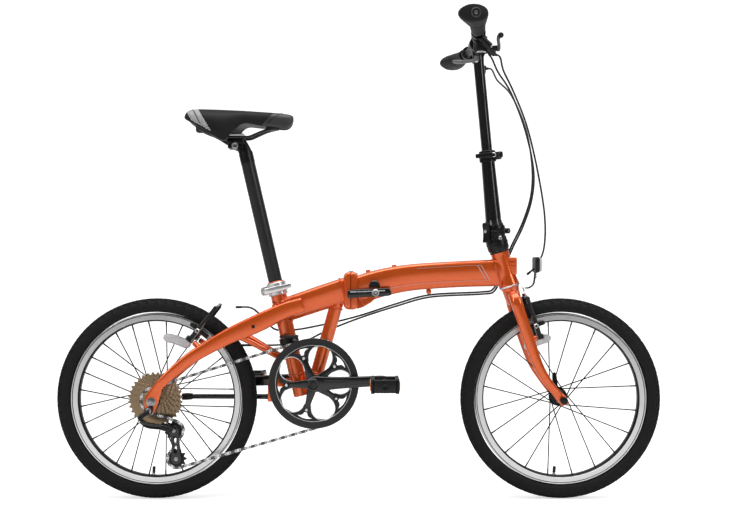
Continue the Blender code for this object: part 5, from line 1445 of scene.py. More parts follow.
    def shifter(self) -> None:
        """Make the shifter pod, its barrel and the grey thumb lever."""
        pod = Piece("shifter_body", *of(PLASTIC, SILVER, WHITE))
        pod.add(hoop(bar_at(-0.087), Y, (-0.0075, 0.0075), (0.0131, 0.0165), 40, 0, 0.0012))
        pod.add(sweep([(bar_at(-0.087, 0.0140, 0.0000), 0.0120, 0.0092),
                       (bar_at(-0.087, 0.0230, 0.0020), 0.0146, 0.0108),
                       (bar_at(-0.087, 0.0330, 0.0040), 0.0152, 0.0110),
                       (bar_at(-0.087, 0.0412, 0.0052), 0.0112, 0.0076)],
                      Y, 26, 2.8, 8))
        pod.add(lathe(bar_at(-0.087, 0.0380, 0.0050), -Z, [(-0.001, 0.0128), (0.0012, 0.0130), (0.0026, 0.0120)], 36,
                      False, 2))
        pod.add(lathe(bar_at(-0.087, 0.0400, 0.0050), -Z,
                      [(0, 0.0118), (0.0022, 0.0112), (0.0030, 0.0080), (0.0024, 0.0040)],
                      32, False, 0))
        out = unit(bar_at(-0.080, 0.0400, 0.0300) - bar_at(-0.087, 0.0280, 0.0120))
        pod.add(lathe(bar_at(-0.087, 0.0280, 0.0110), out,
                      [(0, 0.0058), (0.0060, 0.0058), (0.0062, 0.0070), (0.0085, 0.0070),
                                                            (0.0087, 0.0058), (0.0110, 0.0070), (0.0140, 0.0070),
                                                            (0.0142, 0.0042), (0.0200, 0.0036)], 26))
        pod.add(bolt(bar_at(-0.087, -0.0110, 0.0120), np.array([0.7, 0, 0.7]), 0.0036, 0.0036, 1))
        pod.make("bar", "shifter_pod", slot="black_plastic")
        lever = Piece("shifter_thumb_lever", *of(MID_GREY, SILVER))
        lever.add(sweep([(bar_at(-0.087, 0.0560, -0.0050), 0.0082, 0.0036),
                         (bar_at(-0.092, 0.0610, -0.0260), 0.0090, 0.0036),
                         (bar_at(-0.100, 0.0640, -0.0480), 0.0100, 0.0042),
                         (bar_at(-0.104, 0.0630, -0.0596), 0.0062, 0.0026)],
                        Z, 20, 3.0, 7))
        lever.add(bar(bar_at(-0.087, 0.0470, -0.0040), bar_at(-0.087, 0.0570, -0.0050), 0.0060, 24, 0))
        lever.add(bolt(bar_at(-0.087, 0.0585, -0.0050), -Z, 0.0042, 0.0030, 1))
        lever.make("shifter_lever", "shifter_lever", slot="grey_plastic")

    def build(self) -> None:
        """Make the bar and everything on it."""
        along = np.concatenate([np.linspace(-0.276, -0.045, 24), np.linspace(-0.040, 0.040, 17),
                                np.linspace(0.045, 0.276, 24)])
        bulge = self.bar_radius + 0.0019 * np.clip((0.046 - np.abs(along)) / 0.016, 0, 1)
        path = np.array([bar_at(a) for a in along])
        Piece("bar_tube", *of(SATIN)).add(loft(path, bulge, bulge, Z, 32)).make("bar", "handlebar", slot="grey_alloy")
        for side in Side:
            self.grip(side)
            self.brake(side)
        self.shifter()


# ---------------------------------------------------------------------------
# Saddle and seat post
# ---------------------------------------------------------------------------


@dataclass
class Saddle:
    """Padded saddle with corner panels and a nose cap, on rails, a clamp and the long post."""

    sides: int = 96

    def section_rows(self) -> np.ndarray:
        """Return rows of (x, half width, top, edge, underside) from tail to nose."""
        return smooth([(-0.4200, 0.0440, 0.9300, 0.9262, 0.9262), (-0.4160, 0.0580, 0.9385, 0.9215, 0.9235),
                       (-0.4080, 0.0695, 0.9465, 0.9160, 0.9200), (-0.3950, 0.0750, 0.9492, 0.9080, 0.9160),
                       (-0.3800, 0.0765, 0.9500, 0.8990, 0.9130), (-0.3500, 0.0755, 0.9496, 0.8830, 0.9110),
                       (-0.3300, 0.0715, 0.9492, 0.8710, 0.9092), (-0.3170, 0.0670, 0.9488, 0.8730, 0.9088),
                       (-0.3000, 0.0595, 0.9482, 0.8930, 0.9090), (-0.2767, 0.0480, 0.9472, 0.9125, 0.9140),
                       (-0.2400, 0.0345, 0.9457, 0.9092, 0.9122), (-0.2080, 0.0262, 0.9441, 0.9064, 0.9110),
                       (-0.1795, 0.0226, 0.9412, 0.9040, 0.9082), (-0.1660, 0.0185, 0.9385, 0.9120, 0.9140),
                       (-0.1605, 0.0120, 0.9350, 0.9235, 0.9238)], 18)

    def skin_points(self, lift: float = 0.0) -> np.ndarray:
        """Return rings of the cover.

        Each ring is a superellipse over the top, whose lower half drops to the edge and then
        tucks in to the underside; a shallow channel runs along the middle.
        """
        rows = self.section_rows()
        v = 2 * np.pi * (np.arange(self.sides) + 0.5) / self.sides
        c, s = np.cos(v), np.sin(v)
        x, wide, top, edge, under = rows.T
        across = np.sign(c) * np.abs(c) ** 0.62
        over = np.clip(s, 0, 1) ** 0.72
        below = np.clip(-s, 0, 1)
        y = (wide[:, None] + lift) * across * (1 - 0.10 * below)
        base = edge + 0.22 * (top - edge)
        z = base[:, None] + (top - base + lift)[:, None] * over
        skirt = np.clip(below * 2.2, 0, 1)
        z = np.where(s[None] < 0, base[:, None] + (edge - base)[:, None] * skirt, z)
        tuck = np.clip((below - 0.45) / 0.55, 0, 1) ** 0.7
        z = np.where(s[None] < 0, z + (under - edge)[:, None] * tuck, z)
        span = np.clip((x + 0.405) / 0.05, 0, 1) * np.clip((-0.200 - x) / 0.06, 0, 1)
        channel = 0.0030 * np.exp(-(y / 0.0085) ** 2) * span[:, None] * over
        rear_dip = 0.0022 * np.exp(-((y / 0.030) ** 2)) * np.clip((-0.33 - x) / 0.06, 0, 1)[:, None] * over
        z = z - channel - rear_dip
        return np.stack([np.broadcast_to(x[:, None], y.shape), y, z], axis=-1)

    def cover(self) -> None:
        """Make the cover with its corner panels and nose cap as finishes of one skin."""
        piece = Piece("saddle_cover", *of(COVER, PANEL, NOSE, PLASTIC))
        piece.add(grid(self.skin_points()))
        made = piece.make("seatpost", "saddle", slot="saddle_cover", angle=70)
        mesh = made.data
        centres = np.empty(len(mesh.polygons) * 3)
        mesh.polygons.foreach_get("center", centres)
        normals = np.empty(len(mesh.polygons) * 3)
        mesh.polygons.foreach_get("normal", normals)
        x, y, z = centres.reshape(-1, 3).T
        up = normals.reshape(-1, 3)[:, 2]
        rear_line = -0.415 + (0.9500 - z) * 0.62
        panel = (x < rear_line + 0.028) & (x > rear_line - 0.004) & (np.abs(y) > 0.020) & (up > -0.5)
        cap = x > -0.205 - (0.9450 - z) * 0.85
        index = np.zeros(len(mesh.polygons), int)
        index[panel] = 1
        index[cap & (up > -0.6)] = 2
        index[up < -0.62] = 3
        mesh.polygons.foreach_set("material_index", index)

    def seams(self) -> None:
        """Make the stitched welts round the corner panels and the nose line."""
        piece = Piece("saddle_seams", *of(COVER, MID_GREY))
        rows = self.skin_points(0.0002)
        half = self.sides // 2
        for share, tilt in ((0.055, 0.10), (0.17, 0.12), (0.83, -0.075)):
            count = len(rows)
            v = np.arange(half + 1)
            level = np.sin(np.pi * (v + 0.5) / half)
            u = np.clip((share + tilt * (1 - level)) * count, 0, count - 2)
            low = np.floor(u).astype(int)
            part = (u - low)[:, None]
            line = rows[low, v % self.sides] * (1 - part) + rows[low + 1, v % self.sides] * part
            piece.add(loft(smooth(line, 3), 0.0009, 0.0006, X, 8, 2.0, 0))
            for k in range(2, half - 2):
                start, end = line[k] + np.array([0.0022, 0, 0.0004]), line[k] * 0.62 + line[k + 1] * 0.38
                piece.add(bar(start, end + np.array([0.0022, 0, 0.0004]), 0.00035, 5, 1, 0))
        piece.make("seatpost", slot="saddle_cover")

    def rails(self) -> None:
        """Make the bent rails and the moulded sockets that hold them."""
        half = [(-0.3720, 0.0245, 0.8975), (-0.3560, 0.0238, 0.8892), (-0.3400, 0.0228, 0.8832),
                (-0.3250, 0.0220, 0.8823),
                (-0.2750, 0.0220, 0.8823), (-0.2620, 0.0214, 0.8846), (-0.2500, 0.0205, 0.8898),
                (-0.2260, 0.0168, 0.8998),
                (-0.2080, 0.0095, 0.9034), (-0.2020, 0.0040, 0.9036)]
        path = np.array([(x, -y, z) for x, y, z in half] + [(x, y, z) for x, y, z in reversed(half)])
        path = smooth(path, 5)
        piece = Piece("rail_loop", *of(GLOSS))
        piece.add(loft(path, 0.0034, 0.0034, Z + X * 0.01, 16))
        piece.make("seatpost", "saddle_rails", slot="steel")
        mounts = Piece("rail_sockets", *of(PLASTIC))
        for sign in (-1, 1):
            mounts.add(sweep([((-0.3900, sign * 0.0262, 0.9080), 0.0080, 0.0070),
                              ((-0.3720, sign * 0.0248, 0.8990), 0.0072,
                                                                                 0.0066),
                              ((-0.3600, sign * 0.0240, 0.8930), 0.0056, 0.0054)], Z, 18, 3.0, 5))
        mounts.add(sweep([((-0.2260, 0.0, 0.9075), 0.0180, 0.0062), ((-0.2080, 0.0, 0.9070), 0.0150, 0.0070),
                          ((-0.1940, 0.0, 0.9090), 0.0100, 0.0066)], Z, 22, 3.0, 5))
        mounts.add(brick((-0.3980, -0.0130, 0.8960), (-0.3720, 0.0130, 0.9140), 0.0040, axis=1))
        mounts.make("seatpost", slot="black_plastic")

    def clamp(self) -> None:
        """Make the two-bolt rail clamp: pale upper plate and a serrated lower body."""
        piece = Piece("rail_clamp", *of(BLACK, SILVER, STEEL))
        piece.add(brick((-0.3230, -0.0272, 0.8858), (-0.2780, 0.0272, 0.8912), 0.0024, 1))
        piece.add(brick((-0.3215, -0.0150, 0.8780), (-0.2785, 0.0150, 0.8868), 0.0020))
        piece.add(brick((-0.3200, -0.0258, 0.8660), (-0.2800, 0.0258, 0.8786), 0.0030))
        for number in range(9):
            x = -0.3180 + 0.0042 * number
            piece.add(brick((x, -0.0262, 0.8560), (x + 0.0024, 0.0262, 0.8700), 0.0008))
        piece.add(sweep([(seat_at(0.5700), 0.0162, 0.0162), (seat_at(0.5860, 0.0, -0.0010), 0.0150, 0.0158),
                         ((-0.2860, 0.0, 0.8640), 0.0140, 0.0150), ((-0.2930, 0.0, 0.8785), 0.0150, 0.0130)], X, 26,
                        2.8, 7))
        piece.add(bar((-0.3000, -0.0275, 0.8620), (-0.3000, 0.0275, 0.8620), 0.0066, 26))
        for sign in (-1, 1):
            piece.add(lathe((-0.3000, sign * 0.0272, 0.8620), Y * sign,
                            [(-0.001, 0.0086), (0.0030, 0.0084), (0.0038, 0.0060),
                                                                         (0.0030, 0.0038)], 24, False, 2))
        piece.make("seatpost", "saddle_clamp", slot="black_alloy")

    def post(self) -> None:
        """Make the seat post tube with its turned mark rings, and the collar with its lever."""
        piece = Piece("seat_tube_post", *of(SATIN, BLACK))
        piece.add(lathe(SEAT_FOOT, SEAT_DIR, [(0.0300, 0.0150), (0.0312, 0.0165), (0.0330, 0.0169), (0.5700, 0.0169),
                                              (0.5790, 0.0166), (0.5850, 0.0150)], 52))
        piece.add(lathe(SEAT_FOOT, SEAT_DIR, [(0.5560, 0.0168), (0.5565, 0.0174), (0.5800, 0.0174), (0.5850, 0.0160)],
                        52, False,
                        1))
        piece.make("seatpost", "seatpost", slot="grey_alloy")
        collar = Piece("seat_collar", *of(SILVER, BLACK, STEEL))
        collar.add(hoop(SEAT_FOOT, SEAT_DIR, (0.2240, 0.2560), (0.0202, 0.0236), 52, 0, 0.0016))
        for side in (-0.0060, 0.0060):
            collar.add(sweep([(seat_at(0.2290, side, -0.0270), 0.0042, 0.0100), (seat_at(0.2510, side, -0.0270), 0.0042,
                                                                                0.0100)], X, 18, 4.0, 4))
        collar.add(bar(seat_at(0.2400, -0.0160, -0.0310), seat_at(0.2400, 0.0160, -0.0310), 0.0048, 22, 2))
        collar.make("rear_frame", "seat_clamp", slot="silver_alloy")
        lever = Piece("seat_collar_lever", *of(SILVER, STEEL))
        lever.add(sweep([(seat_at(0.2400, -0.0150, -0.0360), 0.0042, 0.0082),
                         (seat_at(0.2400, -0.0270, -0.0250), 0.0036,
                                                                              0.0076),
                         (seat_at(0.2402, -0.0302, 0.0000), 0.0031, 0.0070), (seat_at(0.2404, -0.0300, 0.0200), 0.0030,
                                                                             0.0064),
                         (seat_at(0.2410, -0.0290, 0.0378), 0.0028, 0.0052)], SEAT_DIR, 18, 3.2, 7))
        lever.make("seat_lever", "seat_clamp_lever", slot="silver_alloy")
        guide = Piece("chain_keeper", *of(PLASTIC, STEEL))
        guide.add(hoop(SEAT_FOOT, SEAT_DIR, (0.0980, 0.1180), (0.0202, 0.0236), 44, 0, 0.0014))
        guide.add(brick((-0.1900, -0.0560, 0.3958), (-0.1460, -0.0212, 0.4022), 0.0028))
        guide.add(bolt((-0.1560, -0.0262, 0.3900), -Y, 0.0038, 0.0030, 1))
        guide.make("rear_frame", "chain_guide", slot="black_plastic")

    def build(self) -> None:
        """Make every piece of the seat."""
        self.cover()
        self.seams()
        self.rails()
        self.clamp()
        self.post()


# ---------------------------------------------------------------------------
# Drivetrain
# ---------------------------------------------------------------------------


def ray(turn: float) -> np.ndarray:
    """Return the unit vector at an angle in the XZ plane."""
    return np.array([math.cos(turn), 0, math.sin(turn)])


def disc_points(centre: np.ndarray, radius: np.ndarray, turn: np.ndarray) -> np.ndarray:
    """Return (x, z) points round a centre."""
    return np.stack([centre[0] + radius * np.cos(turn), centre[2] + radius * np.sin(turn)], axis=1)


def sprocket(centre: np.ndarray, teeth: int, inner: float, low: float, high: float, finish: int = 0,
             per_tooth: int = 10, phase: float = 0.0) -> Shell:
    """Return a toothed ring.

    The edge is root + depth * a flattened cosine of the tooth angle, so each tooth has a
    rounded valley for a chain roller and a narrow crest.
    """
    count = teeth * per_tooth
    turn = 2 * np.pi * np.arange(count) / count
    wave = 0.5 + 0.5 * np.cos(teeth * (turn - phase))
    depth = 0.0062
    edge = pitch_radius(teeth) - 0.0040 + depth * wave ** 1.25
    return plate(disc_points(centre, edge, turn), low, high, 1, 0.0004, finish,
                 disc_points(centre, np.full(count, inner), turn))


@dataclass
class Cranks:
    """Chainring with guard, five-arm spider, both crank arms and folding pedals."""

    spider_turn: float = math.radians(39)
    arms: int = 5
    opening_out: float = 0.0635
    opening_half: float = 0.0290

    def tip(self, side: Side) -> np.ndarray:
        """Return the pedal centre in the middle plane."""
        reach = np.array([math.cos(CRANK_RISE), 0, math.sin(CRANK_RISE)]) * CRANK_LENGTH
        return CRANK_AXLE - side.value * reach

    def opening(self, delta: np.ndarray) -> np.ndarray:
        """Return the outer radius of a round opening, seen from the crank axle.

        With the opening's middle at distance d and its radius e, a ray at angle delta from the
        middle leaves it at d cos(delta) + sqrt(e^2 - d^2 sin^2(delta)).
        """
        inside = np.maximum(self.opening_half ** 2 - (self.opening_out * np.sin(delta)) ** 2, 0.0)
        return self.opening_out * np.cos(delta) + np.sqrt(inside)

    def tab(self, turn: float) -> Shell:
        """Return the forked tab between two openings, with its three-cornered window."""
        share = math.pi / self.arms
        first = share - math.asin(self.opening_half / self.opening_out)
        rise = np.linspace(first, share * 0.93, 22)
        leg = self.opening(share - rise)
        rim = np.linspace(rise[-1], -rise[-1], 26)[1:-1]
        foot = np.linspace(-first, first, 6)[1:-1]
        angle = np.concatenate([rise, rim, -rise[::-1], foot])
        reach = np.concatenate([leg, np.full(len(rim), 0.0926), leg[::-1], np.full(len(foot), leg[0] - 0.0016)])
        outline = disc_points(CRANK_AXLE, reach, angle + turn)
        middle = disc_points(CRANK_AXLE, np.array([0.0836]), np.array([turn]))
        return plate(outline, -0.0526, -0.0478, 1, 0.0006, 0, middle + (outline - middle) * 0.40)

    def ring(self) -> None:
        """Make the toothed ring, the flat guard with bright rims, and the forked tabs to the spider."""
        piece = Piece("chainring_and_guard", *of(SATIN, SILVER, BLACK))
        count = 520
        turn = 2 * np.pi * np.arange(count) / count
        wave = 0.5 + 0.5 * np.cos(RING_TEETH * turn)
        edge = pitch_radius(RING_TEETH) - 0.0046 + 0.0044 * wave ** 1.2
        hole = disc_points(CRANK_AXLE, np.full(count, 0.0915), turn)
        piece.add(plate(disc_points(CRANK_AXLE, edge, turn), -0.0492, -0.0456, 1, 0.0005, 0, hole))
        piece.add(plate(disc_points(CRANK_AXLE, np.full(count, 0.1088), turn), -0.0533, -0.0512, 1, 0.0006, 0, hole))
        piece.add(lathe(CRANK_AXLE, Y, [(-0.0537, 0.0911), (-0.0537, 0.0920), (-0.0530, 0.0920), (-0.0530, 0.0911)],
                        160, True,
                        1))
        for number in range(self.arms):
            t = self.spider_turn + 2 * math.pi * number / self.arms
            out = ray(t)
            piece.add(self.tab(t))
            lean = t + math.pi / self.arms
            sweep_turn = lean + np.linspace(-2.15, 2.15, 44)
            middle = CRANK_AXLE + ray(lean) * self.opening_out - Y * 0.0529
            reach = self.opening_half - 0.0001
            curve = middle + np.stack([np.cos(sweep_turn), 0 * sweep_turn, np.sin(sweep_turn)], axis=1) * reach
            piece.add(loft(curve, 0.0009, 0.0007, Y, 8, 2.0, 1))
            piece.add(lathe(CRANK_AXLE + out * 0.0650 - Y * 0.0590, -Y,
                            [(-0.001, 0.0062), (0.0010, 0.0062), (0.0018, 0.0054),
                                                                         (0.0014, 0.0034)], 28, False, 2))
            piece.add(bolt(CRANK_AXLE + out * 0.0650 - Y * 0.0600, -Y, 0.0034, 0.0016, 1))
        piece.make("cranks", "chainring", slot="grey_alloy")

    def arm_right(self) -> None:
        """Make the driven crank: spindle, spider with tapered arms, ridged arm and hub cap."""
        piece = Piece("crank_arm_drive_side", *of(GLOSS, SILVER, BLACK))
        reach = self.tip(Side.RIGHT) - CRANK_AXLE
        piece.add(bar(CRANK_AXLE - Y * 0.0560, CRANK_AXLE + Y * 0.0540, 0.0094, 24, 2))
        for number in range(self.arms):
            t = self.spider_turn + 2 * math.pi * number / self.arms
            out = ray(t)
            piece.add(sweep([(CRANK_AXLE + out * 0.006 - Y * 0.0575, 0.0125, 0.0034),
                             (CRANK_AXLE + out * 0.0260 - Y * 0.0575,
                                                                                      0.0098, 0.0034),
                             (CRANK_AXLE + out * 0.0480 - Y * 0.0570, 0.0072, 0.0030),
                             (CRANK_AXLE + out * 0.0640 - Y * 0.0562,
                                                                                       0.0082, 0.0026),
                             (CRANK_AXLE + out * 0.0708 - Y * 0.0560, 0.0060, 0.0024)], Y, 20, 3.4, 6))
        piece.add(sweep([(CRANK_AXLE - Y * 0.0636 - reach * 0.105, 0.0052, 0.0100),
                         (CRANK_AXLE - Y * 0.0640, 0.0080, 0.0192),
                         (CRANK_AXLE - Y * 0.0648 + reach * 0.16, 0.0076, 0.0172),
                         (CRANK_AXLE - Y * 0.0662 + reach * 0.35,
                                                                                   0.0070, 0.0146),
                         (CRANK_AXLE - Y * 0.0690 + reach * 0.75, 0.0066, 0.0128),
                         (CRANK_AXLE - Y * 0.0700 + reach * 0.97,
                                                                                   0.0066, 0.0124),
                         (CRANK_AXLE - Y * 0.0700 + reach * 1.070, 0.0050, 0.0082)], np.cross(Y, unit(reach)), 28, 3.2,
                        8))
        for offset in (-0.30, 0.30):
            up = np.cross(unit(reach), Y)
            line = smooth([(CRANK_AXLE - Y * 0.0722 + reach * 0.16 + up * 0.0150 * offset * 1.6),
                           (CRANK_AXLE - Y * 0.0732 + reach * 0.45 + up * 0.0135 * offset * 1.4),
                           (CRANK_AXLE - Y * 0.0756 + reach * 0.88 + up * 0.0115 * offset * 1.2)], 8)
            piece.add(loft(line, 0.0010, 0.0008, Y, 10, 2.0, 0))
        piece.add(lathe(CRANK_AXLE, -Y, [(0.0640, 0.0140), (0.0716, 0.0138), (0.0728, 0.0126), (0.0722, 0.0098),
                                         (0.0706, 0.0090)], 44))
        piece.add(bolt(CRANK_AXLE - Y * 0.0708, -Y, 0.0074, 0.0026, 2))
        tip = self.tip(Side.RIGHT)
        piece.add(lathe(tip, -Y, [(0.0700, 0.0086), (0.0768, 0.0086), (0.0774, 0.0076), (0.0766, 0.0060)], 34, False,
                        0))
        piece.make("cranks", "crank_right", slot="black_alloy")

    def arm_left(self) -> None:
        """Make the plain left crank."""
        piece = Piece("crank_arm_left_side", *of(GLOSS, SILVER, BLACK))
        reach = self.tip(Side.LEFT) - CRANK_AXLE
        piece.add(sweep([(CRANK_AXLE + Y * 0.0640 - reach * 0.095, 0.0052, 0.0096),
                         (CRANK_AXLE + Y * 0.0640, 0.0085, 0.0166),
                         (CRANK_AXLE + Y * 0.0650 + reach * 0.16, 0.0078, 0.0150),
                         (CRANK_AXLE + Y * 0.0664 + reach * 0.35,
                                                                                   0.0070, 0.0136),
                         (CRANK_AXLE + Y * 0.0700 + reach * 0.97, 0.0066, 0.0122),
                         (CRANK_AXLE + Y * 0.0700 + reach * 1.070,
                                                                                   0.0050, 0.0080)],
                        np.cross(Y, unit(reach)), 26, 3.2, 8))
        piece.add(lathe(CRANK_AXLE, Y, [(0.0640, 0.0126), (0.0730, 0.0124), (0.0740, 0.0112), (0.0732, 0.0088)], 40))
        piece.add(bolt(CRANK_AXLE + Y * 0.0718, Y, 0.0070, 0.0026, 2))
        piece.make("cranks", "crank_left", slot="black_alloy")

    def pedal(self, side: Side) -> None:
        """Make one folding pedal: axle and knuckle, cage with ribs, core and reflectors."""
        sign = side.value
        tip = self.tip(side)
        axle = Piece(f"pedal_spindle_{side.word}", *of(STEEL, BLACK))
        axle.add(lathe(tip, Y * sign, [(0.0716, 0.0040), (0.0718, 0.0051), (0.0768, 0.0051), (0.0772, 0.0088),
                                       (0.0810, 0.0088),
                                       (0.0814, 0.0064), (0.0932, 0.0062), (0.0940, 0.0050)], 30))
        axle.add(bar(tip + Y * sign * 0.100 - X * 0.0142, tip + Y * sign * 0.100 + X * 0.0142, 0.0060, 22, 1))
        axle.add(brick(tip + np.array([-0.0120, sign * 0.0900, -0.0050]),
                       tip + np.array([0.0120, sign * 0.1000, 0.0050]), 0.0016,
                       1))
        axle.make(f"pedal_axle_{side.word}", f"pedal_axle_{side.word}", slot="steel")
        cage = Piece(f"pedal_cage_{side.word}", *of(PLASTIC, AMBER, BLACK))
        for face in (-1, 1):
            cage.add(brick(tip + np.array([face * 0.0236, sign * 0.1072, -0.0158]),
                           tip + np.array([face * 0.0325, sign * 0.1898,
                                                                                               0.0158]), 0.0030, 0,
                           axis=1))
            cage.add(brick(tip + np.array([face * 0.0148, sign * 0.0932, -0.0068]),
                           tip + np.array([face * 0.0323, sign * 0.1090,
                                                                                               0.0068]), 0.0020, 0))
            cage.add(brick(tip + np.array([face * 0.0300, sign * 0.1180, -0.0100]),
                           tip + np.array([face * 0.0345, sign * 0.1840,
                                                                                               0.0100]), 0.0012, 1,
                           axis=0))
            for number in range(9):
                y = sign * (0.1100 + 0.0092 * number)
                for z in (-1, 1):
                    cage.add(brick(tip + np.array([face * 0.0244, y, z * 0.0150]),
                                   tip + np.array([face * 0.0320, y + sign * 0.0052,
                                                                                              z * 0.0166]), 0.0008))
        for y in (0.1072, 0.1812):
            cage.add(brick(tip + np.array([-0.0300, sign * y, -0.0150]),
                           tip + np.array([0.0300, sign * (y + 0.0086), 0.0150]),
                           0.0028, 0))
        cage.add(lathe(tip, Y * sign, [(0.1090, 0.0092), (0.1200, 0.0105), (0.1500, 0.0092), (0.1820, 0.0088),
                                       (0.1870, 0.0088)],
                       30))
        cage.add(lathe(tip, Y * sign, [(0.1885, 0.0094), (0.1904, 0.0092), (0.1908, 0.0070), (0.1900, 0.0050)], 28,
                       False, 2))
        cage.make(f"pedal_{side.word}", f"pedal_{side.word}", slot="black_plastic")

    def build(self) -> None:
        """Make the crank set and pedals."""
        self.ring()
        self.arm_right()
        self.arm_left()
        for side in Side:
            self.pedal(side)


def chain_loop(wheels: Sequence[tuple]) -> list:
    """Return runs and arcs of a chain round wheels.

    Each wheel is (centre, radius, sense), sense 1 turning clockwise from the right. A straight
    run leans by asin((sb rb - sa ra) / gap) so that it touches both of its circles.

    Returns:
        Alternating arrays of points (x, z): each wheel's leaving run, then the next wheel's arc.
    """
    runs = []
    for (a, ra, sa), (b, rb, sb) in zip(wheels, list(wheels[1:]) + [wheels[0]]):
        gap = np.array([b[0] - a[0], b[2] - a[2]])
        heading = math.atan2(gap[1], gap[0]) + math.asin((sb * rb - sa * ra) / np.linalg.norm(gap))
        right = np.array([math.sin(heading), -math.cos(heading)])
        runs.append((np.array([a[0], a[2]]) - sa * ra * right, np.array([b[0], b[2]]) - sb * rb * right))
    parts = []
    for number, (leave, reach) in enumerate(runs):
        centre, radius, sense = wheels[(number + 1) % len(wheels)]
        following = runs[(number + 1) % len(runs)][0]
        start = math.atan2(reach[1] - centre[2], reach[0] - centre[0])
        stop = math.atan2(following[1] - centre[2], following[0] - centre[0])
        turn = (stop - start) % (2 * math.pi) if sense < 0 else -((start - stop) % (2 * math.pi))
        steps = max(4, int(abs(turn) * radius / 0.002))
        angle = start + turn * np.arange(steps) / steps
        straight = leave + (reach - leave) * np.linspace(0, 1, 160)[:-1, None]
        parts.append(straight)
        parts.append(np.stack([centre[0] + radius * np.cos(angle), centre[2] + radius * np.sin(angle)], axis=1))
    return parts


